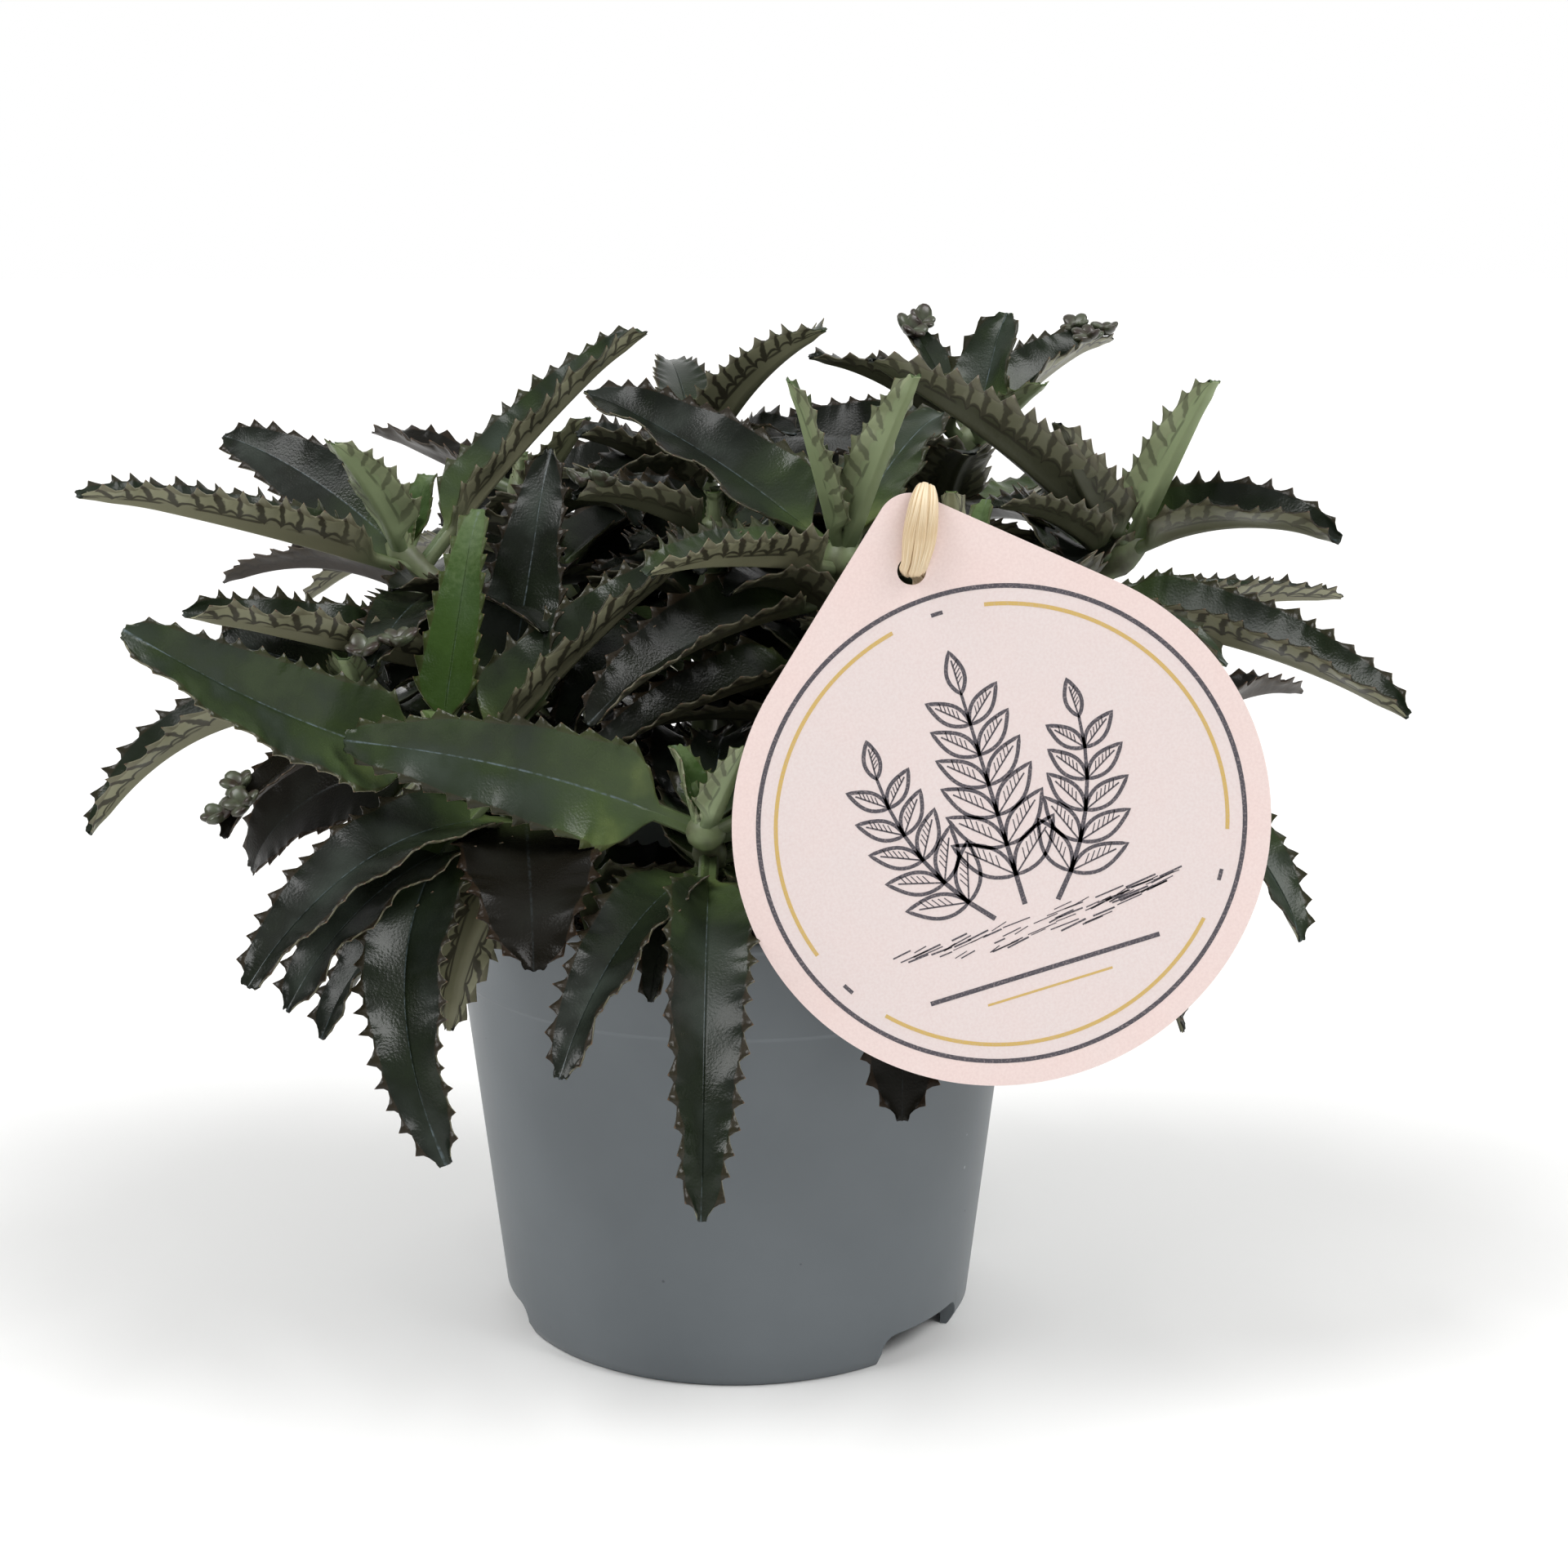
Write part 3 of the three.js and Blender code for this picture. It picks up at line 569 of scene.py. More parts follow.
def make_floor():
    corners = [(-1, -1), (1, -1), (1, 1), (-1, 1)]
    mesh = bpy.data.meshes.new("floor")
    mesh.from_pydata([(x * FLOOR_REACH, y * FLOOR_REACH, -FLOOR_GAP) for x, y in corners], [], [(0, 1, 2, 3)])
    floor = put("floor", mesh)
    mesh.materials.append(painted_studio_floor())


# ---- the leaves' materials -------------------------------------------------------------------

# Each leaf's mesh carries three vectors. tooth counts along the margin, across is the share of the way
# from the midrib to the margin, along the share of the blade, and number is the leaf's own.
CARRIED = {
    "place": ("tooth", "across", "along"),
    "growth": ("dark", "young", "dry"),
    "skin": ("wax", "marks", "number"),
}


def leaf_values(node):
    """The outputs that the leaf materials share, by name."""
    found = {"position": node(PLACE).outputs["Object"]}
    for vector, names in CARRIED.items():
        carried = node(ATTRIBUTE, attribute_name=vector).outputs["Vector"]
        found.update(zip(names, node(SPLIT, (carried,)).outputs))
    return found


def leaf_upper_skin():
    """The waxy upper side of a succulent leaf: a tough dark green skin that turns purple-black in
    strong light, satin, with a thin pale waxy bloom, partly a painted sheen, that gathers along the midrib."""
    material, node, shader = new_material("leaf_upper_skin", "#2C342A")
    v = leaf_values(node)
    # Clouds of colour about 14 mm across, and the skin's wrinkles, about 1.2 mm and 0.5 mm apart.
    clouds, grain, pores = (
        node(NOISE, (v["position"], 1 / (pitch * MM), detail))
        for pitch, detail in ((14, 3), (1.2, 2), (0.5, 1))
    )
    # The leaf is greener at its foot and darker towards its tip.
    reach = node(RANGE, (v["along"], 0, 0.45, 0.25, 1.1))
    darker = node(MATH, (v["dark"], reach), operation="MULTIPLY")
    cloudy = node(RANGE, (clouds, 0.35, 0.65, -0.14, 0.14))
    depth = node(MATH, (darker, cloudy), operation="ADD", use_clamp=True)
    grown = node(RAMP, (depth,), ((0, "#6E7C47"), (0.25, "#404F2E"), (0.6, "#232C1D"), (1, "#121610")))
    patchy = node(RANGE, (grain, 0.3, 0.7, -0.1, 0.1))
    greens = node(MATH, (v["along"], patchy), operation="ADD")
    fresh = node(RAMP, (greens,), ((0, "#2A3D17"), (0.6, "#344822"), (1, "#556642")))
    # Wax and painted sheen: a pale bloom in patches, most of it beside the midrib and away from the leaf's
    # foot.
    wax = node(RANGE, (v["across"], 0.1, 0.95, 1, 0.2))
    patches = node(RANGE, (clouds, 0.45, 0.65, 0, 0.3))
    settled = node(RANGE, (v["along"], 0.1, 0.5, 0.3, 1))
    for share in (patches, v["wax"], settled):
        wax = node(MATH, (wax, share), operation="MULTIPLY")
    # The midrib is a thin broken bluish line, partly a painted sheen along it; the teeth end in a horny brown
    # point that also stands for a painted glint.
    line = node(RANGE, (v["across"], 0.012, 0.035, 1, 0))
    broken = node(RANGE, (grain, 0.4, 0.6, 0.1, 0.7))
    for share in (broken, v["wax"]):
        line = node(MATH, (line, share), operation="MULTIPLY")
    edge = node(RANGE, (v["across"], 0.96, 1.05, 0, 0.35))
    # The teeth's horny points: partly their own brown, partly a painted glint.
    horn_and_glint = node(RANGE, (v["across"], 1.8, 2.0, 0, 0.6))
    stalk = node(RANGE, (v["along"], -0.08, 0.04, 0.8, 0))
    # A dry leaf's near-black brown is partly its own colour and partly painted shade.
    colour = grown
    for share, layer in (
        (v["young"], fresh),
        (v["dry"], "#120E0A"),
        (wax, "#5F6C62"),
        (line, "#66747A"),
        (edge, "#3A2C20"),
        (horn_and_glint, "#7D6450"),
        (stalk, "#5B6B47"),
    ):
        colour = node(MIX, (share, colour, layer), data_type="RGBA")
    gloss = node(RANGE, (clouds, 0.35, 0.65, 0.23, 0.38))
    wrinkles = node(MATH, (grain, 0.4, pores), operation="MULTIPLY_ADD")
    bump = node(BUMP, {"Height": wrinkles, "Strength": 0.22, "Distance": 0.25 * MM})
    dull = node(MATH, (v["young"], v["dry"]), operation="MAXIMUM")
    sheen = node(RANGE, (dull, 0, 1, 0.37, 0.12))
    fill(shader, {
        "Base Color": colour, "Roughness": gloss, "Normal": bump, "Specular IOR Level": sheen, "IOR": 1.37,
    })
    return material


def leaf_under_skin():
    """The underside: a paler grey-green skin with a row of light boxes along the margin, one for
    each tooth, outlined by dark brown strokes, and a broken dark line nearer the midrib."""
    material, node, shader = new_material("leaf_under_skin", "#4C523F")
    v = leaf_values(node)
    # The skin's fine grain, 2.2 mm.
    fine = node(NOISE, (v["position"], 1 / (2.2 * MM), 2))
    ground = node(RAMP, (v["dark"],), ((0, "#868D6B"), (0.6, "#85836A"), (0.85, "#5C5D46"), (1, "#2C2F24")))
    # Each tooth's own run from 0 to 1, leaned back the further it is from the margin, and ragged.
    inward = node(MATH, (1, v["across"]), operation="SUBTRACT")
    leaned = node(MATH, (inward, 0.9, v["tooth"]), operation="MULTIPLY_ADD")
    ragged = node(MATH, (fine, 0.5, leaned), operation="MULTIPLY_ADD")
    run = node(MATH, (ragged,), operation="FRACT")
    off_centre = node(MATH, (run, 0.5), operation="SUBTRACT")
    aside = node(MATH, (off_centre,), operation="ABSOLUTE")
    stroke = node(RANGE, (aside, 0.3, 0.38, 0, 1))
    # A box ends in a round: its inner end lies further in at its middle than at its sides.
    round_end = node(MATH, (aside, 2), operation="POWER")
    box_end = node(MATH, (round_end, 0.8, v["across"]), operation="MULTIPLY_ADD")
    depth = node(MATH, (box_end, 0.56), operation="SUBTRACT")
    off_line = node(MATH, (depth,), operation="ABSOLUTE")
    # On a young leaf the boxes stay open, and only their strokes show.
    ends = node(RANGE, (off_line, 0.035, 0.07, 1, 0))
    shut = node(RANGE, (v["young"], 0, 1, 1, 0.1))
    outline = node(MATH, (ends, shut), operation="MULTIPLY")
    in_band = node(RANGE, (depth, -0.03, 0.02, 0, 1))
    strokes = node(MATH, (stroke, in_band), operation="MULTIPLY")
    # The broken line nearer the midrib.
    to_line = node(MATH, (v["across"], 0.36), operation="SUBTRACT")
    from_line = node(MATH, (to_line,), operation="ABSOLUTE")
    drawn = node(RANGE, (from_line, 0.03, 0.06, 1, 0))
    dashes = node(JOIN, (v["tooth"], v["across"], v["number"]))
    spread = node(VECTOR_MATH, (dashes, (0.7, 3, 7)), operation="MULTIPLY")
    here = node(RANGE, (node(NOISE, (spread, 1, 1)), 0.47, 0.55, 0, 0.9))
    line = node(MATH, (drawn, here), operation="MULTIPLY")
    marks = outline
    for more in (line, strokes):
        marks = node(MATH, (more, marks), operation="MAXIMUM")
    # The marks fade out on the leaf's foot, and on a dry leaf the boxes have turned brown too.
    reach = node(RANGE, (v["along"], 0.02, 0.2, 0.15, 0.85))
    strength = node(MATH, (v["marks"], reach), operation="MULTIPLY")
    shown = node(MATH, (marks, strength), operation="MULTIPLY")
    tint = node(MATH, (in_band, strength), operation="MULTIPLY")
    light = node(RANGE, (v["dry"], 0, 0.8, 0.6, 0))
    boxes = node(MATH, (tint, light), operation="MULTIPLY")
    edge = node(RANGE, (v["across"], 0.97, 1.01, 0, 0.5))
    # The teeth's horny points: partly their own brown, partly a painted glint.
    horn_and_glint = node(RANGE, (v["across"], 1.75, 2.0, 0, 0.6))
    stalk = node(RANGE, (v["along"], -0.05, 0.12, 0.8, 0))
    colour = ground
    for share, layer in (
        (v["young"], "#94A27A"),
        (v["dry"], "#33271F"),
        (boxes, "#96967A"),
        (shown, "#231D16"),
        (edge, "#3A3024"),
        (horn_and_glint, "#7D6450"),
        (stalk, "#5C6A4A"),
    ):
        colour = node(MIX, (share, colour, layer), data_type="RGBA")
    bump = node(BUMP, {"Height": fine, "Strength": 0.25, "Distance": 0.4 * MM})
    fill(shader, {"Base Color": colour, "Normal": bump, "Roughness": 0.4, "IOR": 1.42})
    return material


# ---- the other materials ---------------------------------------------------------------------


def mottled(name, colour, pitch, detail, stops, roughness, relief=None):
    """A material clouded from one colour to another. pitch: the clouds' breadth in millimetres.
    relief: how strongly they stand out, and how far in millimetres."""
    material, node, shader = new_material(name, colour)
    clouds = node(NOISE, (node(PLACE).outputs["Object"], 1 / (pitch * MM), detail))
    fill(shader, {"Base Color": node(RAMP, (clouds,), stops), "Roughness": roughness})
    if relief:
        strength, height = relief
        bump = node(BUMP, {"Height": clouds, "Strength": strength, "Distance": height * MM})
        fill(shader, {"Normal": bump})
    return material


def stem_skin():
    """Living stem skin: pale grey-green and smooth, browning where it is old."""
    return mottled("stem_skin", "#66724F", 6, 4, ((0.3, "#4B4A38"), (0.7, "#75835B")), 0.5, (0.3, 0.5))


def plantlet_skin():
    """Thick young leaflets: smooth, grey-green flushed with brown, satin."""
    return mottled("plantlet_skin", "#4A4A3A", 3, 2, ((0.35, "#30251F"), (0.65, "#4B523F")), 0.35)


def damp_potting_mix():
    """Peat and composted bark: dark brown, matte, crumbly."""
    return mottled("damp_potting_mix", "#2B2119", 3, 6, ((0.35, "#17110D"), (0.7, "#4A392B")), 0.95, (0.8, 1))


def composted_bark():
    """Chips of composted bark: brown, matte, split along the grain."""
    return mottled("composted_bark", "#5A402A", 1.5, 3, ((0.35, "#38261A"), (0.7, "#7A5B3E")), 0.9)


def moulded_polypropylene():
    """Injection-moulded grey polypropylene with recycled content: satin, faintly clouded, with
    tiny dark and pale specks."""
    material, node, shader = new_material("moulded_polypropylene", "#5D6367")
    position = node(PLACE).outputs["Object"]
    clouds = node(NOISE, (position, 1 / (45 * MM), 4))
    plain = node(RAMP, (clouds,), ((0.3, "#5D6367"), (0.7, "#676D71")))
    # Specks about 0.5 mm across, some 9 mm apart.
    specks = node(CELLS, (position, 1 / (9 * MM)), feature="F1")
    near = node(RANGE, (specks.outputs["Distance"], 0.03, 0.045, 0.6, 0))
    tone = node(RAMP, (specks.outputs["Color"],), ((0.55, "#33363A"), (0.6, "#A9AFB2")))
    speckled = node(MIX, (near, plain, tone), data_type="RGBA")
    # The mould's fine grain, 0.8 mm.
    grain = node(NOISE, (position, 1 / (0.8 * MM), 2))
    bump = node(BUMP, {"Height": grain, "Strength": 0.1, "Distance": 0.1 * MM})
    fill(shader, {"Base Color": speckled, "Normal": bump, "Roughness": 0.4, "IOR": 1.4})
    return material


def uncoated_card():
    """Uncoated pink card with a paler round field, both with the faint grain of paper."""
    material, node, shader = new_material("uncoated_card", "#F2D6D1")
    plane = node(ATTRIBUTE, attribute_name="card_plane").outputs["Vector"]
    reach = node(VECTOR_MATH, (plane,), operation="LENGTH")
    field = node(RANGE, (reach, RING.radius - 0.2, RING.radius, 1, 0))
    # Paper fibres, drawn at 0.5 mm, and soft unevenness 12 mm across.
    fibres = node(NOISE, (plane, 1 / 0.5, 3))
    drift = node(NOISE, (plane, 1 / 12, 2))
    border = node(MIX, (drift, "#E6CFCA", "#E4D4D0"), data_type="RGBA")
    middle = node(MIX, (drift, "#E0D0CD", "#DCD2D0"), data_type="RGBA")
    plain = node(MIX, (field, border, middle), data_type="RGBA")
    speck = node(RANGE, (fibres, 0.35, 0.7, 0, 0.22))
    grained = node(MIX, (speck, plain, "#C9ACA8"), data_type="RGBA")
    bump = node(BUMP, {"Height": fibres, "Strength": 0.15, "Distance": 0.1 * MM})
    fill(shader, {"Base Color": grained, "Normal": bump, "Roughness": 0.8})
    return material


def printing_ink(name, colour):
    """Matte offset ink, a little uneven where the card's 0.4 mm grain shows through it."""
    material, node, shader = new_material(name, colour)
    grain = node(NOISE, (node(PLACE).outputs["Object"], 1 / (0.4 * MM), 2))
    worn = node(RANGE, (grain, 0.5, 0.8, 0, 0.5))
    printed = node(MIX, (worn, colour, "#B9A9A8"), data_type="RGBA")
    fill(shader, {"Base Color": printed, "Roughness": 0.65})
    return material


def dried_raffia():
    """Strips of dried palm leaf: straw-coloured, with fine lengthwise fibres and a dull gloss."""
    material, node, shader = new_material("dried_raffia", "#D3B888")
    strand = node(ATTRIBUTE, attribute_name="strand").outputs["Vector"]
    # Fibres 0.25 mm wide and 12 mm long.
    drawn = node(VECTOR_MATH, (strand, (1 / 12, 1 / 0.25, 1)), operation="MULTIPLY")
    fibres = node(NOISE, (drawn, 1, 3))
    colour = node(RAMP, (fibres,), ((0.35, "#C0A277"), (0.65, "#EEDEC0")))
    bump = node(BUMP, {"Height": fibres, "Strength": 0.5, "Distance": 0.2 * MM})
    fill(shader, {"Base Color": colour, "Normal": bump, "Roughness": 0.6})
    return material


# ---- mesh helpers ----------------------------------------------------------------------------


class Shape:
    """Points in millimetres, faces, each face's material number, and vectors carried by the points."""

    def __init__(self):
        self.points = []
        self.faces = []
        self.looks = []
        self.vectors = {}

    def extend(self, points, faces, look=0, vectors=None):
        """Adds points with their faces; look is one material number or one for each face."""
        start = len(self.points)
        self.points.extend(tuple(p) for p in points)
        self.faces.extend(tuple(start + i for i in face) for face in faces)
        self.looks.extend([look] * len(faces) if isinstance(look, int) else look)
        for name, values in (vectors or {}).items():
            kept = self.vectors.setdefault(name, [])
            kept.extend([(0.0, 0.0, 0.0)] * (start - len(kept)))
            kept.extend(tuple(v) for v in values)

    def mesh_object(self, name, materials):
        """A smooth-shaded object with these materials, at the origin."""
        mesh = bpy.data.meshes.new(name)
        mesh.from_pydata([(x * MM, y * MM, z * MM) for x, y, z in self.points], [], self.faces)
        for material in materials:
            mesh.materials.append(material)
        mesh.polygons.foreach_set("material_index", self.looks)
        mesh.polygons.foreach_set("use_smooth", [True] * len(self.faces))
        for vector_name, values in self.vectors.items():
            values.extend([(0.0, 0.0, 0.0)] * (len(self.points) - len(values)))
            layer = mesh.attributes.new(vector_name, "FLOAT_VECTOR", "POINT")
            layer.data.foreach_set("vector", np.array(values, np.float32).ravel())
        mesh.validate()
        mesh.update()
        return put(name, mesh)


def unit(v):
    return v / np.linalg.norm(v, axis=-1, keepdims=True)


def smooth_step(low, high, x):
    t = np.clip((x - low) / (high - low), 0, 1)
    return t * t * (3 - 2 * t)


def loft(rings, closed=False):
    """Points and faces of a tube through rings of equal length. Its ends are capped unless it closes."""
    n = len(rings[0])
    faces = []
    for r in range(len(rings) - (0 if closed else 1)):
        here, there = r * n, (r + 1) % len(rings) * n
        faces += [(here + k, here + (k + 1) % n, there + (k + 1) % n, there + k) for k in range(n)]
    if not closed:
        faces += [tuple(range(n))[::-1], tuple((len(rings) - 1) * n + k for k in range(n))]
    return [p for ring in rings for p in ring], faces


def plate(outline, holes, low, high):
    """A flat plate between two heights, with holes. All the outlines run anticlockwise."""
    loops = [outline] + [hole[::-1] for hole in holes]
    flat = [point for loop in loops for point in loop]
    triangles = geometry.tessellate_polygon([[Vector((x, y, 0)) for x, y in loop] for loop in loops])
    points = [(x, y, high) for x, y in flat] + [(x, y, low) for x, y in flat]
    n = len(flat)
    faces = []
    for a, b, c in triangles:
        (ax, ay), (bx, by), (cx, cy) = flat[a], flat[b], flat[c]
        if (bx - ax) * (cy - ay) < (by - ay) * (cx - ax):
            b, c = c, b
        faces += [(a, b, c), (n + c, n + b, n + a)]
    start = 0
    for loop in loops:
        count = len(loop)
        for k in range(count):
            here, there = start + k, start + (k + 1) % count
            faces.append((here, n + here, n + there, there))
        start += count
    return points, faces


def arc(radius, start, end, steps, centre=(0, 0)):
    """Points along an arc, its angles in degrees."""
    turns = np.radians(np.linspace(start, end, steps + 1))
    return [(centre[0] + radius * math.cos(t), centre[1] + radius * math.sin(t)) for t in turns]


def circle(radius, count, centre=(0, 0)):
    return arc(radius, 0, 360 - 360 / count, count - 1, centre)


def bezier(a, b, c):
    """Places and directions along a quadratic curve, by share of its length, and its length."""
    t = np.linspace(0, 1, 201)[:, None]
    line = (1 - t) ** 2 * a + 2 * t * (1 - t) * b + t * t * c
    reach = np.concatenate([[0], np.cumsum(np.linalg.norm(np.diff(line, axis=0), axis=1))])

    def at(share):
        u = np.interp(np.asarray(share) * reach[-1], reach, t[:, 0])[..., None]
        place = (1 - u) ** 2 * a + 2 * u * (1 - u) * b + u * u * c
        return place, unit(2 * (1 - u) * (b - a) + 2 * u * (c - b))

    return at, reach[-1]


def new_tree(name, **inputs):
    """A Geometry Nodes tree with named inputs, each given with its kind of socket; returns it, the
    function that adds a node to it, and its inputs' outputs."""
    tree = bpy.data.node_groups.new(name, "GeometryNodeTree")
    for socket_name, kind in {"Geometry": "Geometry", **inputs}.items():
        tree.interface.new_socket(socket_name, in_out="INPUT", socket_type=f"NodeSocket{kind}")
    tree.interface.new_socket("Geometry", in_out="OUTPUT", socket_type="NodeSocketGeometry")
    node = partial(add, tree)
    return tree, node, node("NodeGroupInput").outputs


def finish_tree(node, made, material):
    """Ends a tree: what it made as real geometry with its material."""
    real = node("GeometryNodeRealizeInstances", {"Geometry": made})
    dressed = node("GeometryNodeSetMaterial", {"Geometry": real, "Material": material})
    node("NodeGroupOutput", {"Geometry": dressed})


def grow(tree, owner, values):
    """Runs a Geometry Nodes tree on an object and returns its result as a plain mesh."""
    modifier = owner.modifiers.new(tree.name, "NODES")
    modifier.node_group = tree
    for item in tree.interface.items_tree:
        if item.in_out == "INPUT" and item.name in values:
            modifier[item.identifier] = values[item.name]
    evaluated = owner.evaluated_get(bpy.context.evaluated_depsgraph_get())
    mesh = bpy.data.meshes.new_from_object(evaluated)
    owner.modifiers.remove(modifier)
    return mesh


# ---- leaves ----------------------------------------------------------------------------------

ACROSS = np.array([0, 0.04, 0.12, 0.26, 0.42, 0.58, 0.72, 0.85, 0.95])  # shares from midrib to margin
SECTION_STEPS = 40  # steps in which a half blade's curve is worked out
STALK_STATIONS = np.linspace(-1, -0.08, 5)  # stations along the stalk, which ends at 0
TOOTH = np.array([0, 0.28, 0.5, 0.72, 0.85])  # stations along one tooth
TOOTH_RISE = np.array([0, 0.14, 0.5, 1, 0.36])  # how far the margin stands out at each
TOOTH_POINT = 0.72  # where its point stands
TIP_STATIONS = np.array([0, 0.45, 0.8, 1])  # stations from the last tooth to the end


def half_width(width, s, blunt_end=0.25):
    """Half the blade's width by the share of its length."""
    opening = np.sin(np.minimum(1, s / LEAF.widest) * np.pi / 2) ** LEAF.opening
    narrowing = 1 - LEAF.taper * np.maximum(0, s - LEAF.widest)
    tip = np.maximum(blunt_end, np.sqrt(np.maximum(0, 1 - s**LEAF.bluntness)))
    tip = tip * (1 - LEAF.tip_taper * smooth_step(0.5, 1, s))
    return np.maximum(LEAF.stalk_half_width * np.minimum(1, tip * 2), width / 2 * opening * narrowing * tip)


def leaf_frame(root, leaf):
    """The midrib's places, directions, and the blade's own sideways and upward directions."""
    tip, roll = np.array(leaf.tip, float), math.radians(leaf.roll)
    chord = unit(tip - root)
    tip = tip - LEAF.tip_points * chord
    side = unit(np.cross(chord, UP))
    lift = np.cross(side, chord)
    at, length = bezier(root, (root + tip) / 2 + 2 * leaf.arch * lift + 2 * leaf.bow * side, tip)

    def frames(share):
        place, along = at(share)
        flat = unit(side - (along @ side)[..., None] * along)
        across = flat * math.cos(roll) + np.cross(along, flat) * math.sin(roll)
        return place, along, across, np.cross(across, along)

    return frames, length


def leaf_stations(teeth, rng):
    """Stations along a leaf: the stalk, the teeth, and the blunt end. Returns each one's tooth, counted
    with its part, and its share of the blade, below 0 on the stalk. No two teeth are equally long."""
    on_teeth = (np.arange(teeth)[:, None] + TOOTH).ravel()
    tooth_number = np.concatenate([[-1.0] * len(STALK_STATIONS), on_teeth, [teeth] * len(TIP_STATIONS)])
    wander = rng.uniform(-LEAF.unevenness, LEAF.unevenness, teeth - 1)
    uneven = np.arange(teeth + 1) + np.append(0, np.append(wander, 0))
    s = np.concatenate([
        STALK_STATIONS * LEAF.stalk_share / (1 - LEAF.stalk_share),
        np.interp(on_teeth, np.arange(teeth + 1), uneven) * (LEAF.teeth_end / teeth),
        LEAF.teeth_end + (1 - LEAF.teeth_end) * TIP_STATIONS,
    ])
    return tooth_number, s


def leaf_thickness(s, q, halves, rise):
    """How far the skin lies above and below the blade's middle face. The stalk turns into the blade, whose
    keel fades towards the end, and the end, the margin and the teeth are thin."""
    body = smooth_step(-0.02, 0.14, s)[:, None]
    blunt = 1 - 0.6 * smooth_step(0.9, 1, s)[:, None]
    keel = np.exp(-((q * halves[:, None] / LEAF.keel_breadth) ** 2))
    keel = LEAF.keel * (1 - 0.75 * np.maximum(s, 0)[:, None]) * keel
    top_blade = LEAF.top * (1 - LEAF.thinning * q)
    low_blade = LEAF.under * (1 - LEAF.thinning * q) + keel
    top_stalk = LEAF.stalk_top * (1 - 0.5 * q**2)
    low_stalk = LEAF.stalk_depth * np.sqrt(1 - 0.8 * q**2)
    above = ((1 - body) * top_stalk + body * top_blade) * blunt
    below = ((1 - body) * low_stalk + body * low_blade) * blunt
    above[:, -1] = below[:, -1] = LEAF.margin - LEAF.margin / 2 * rise
    return above, below


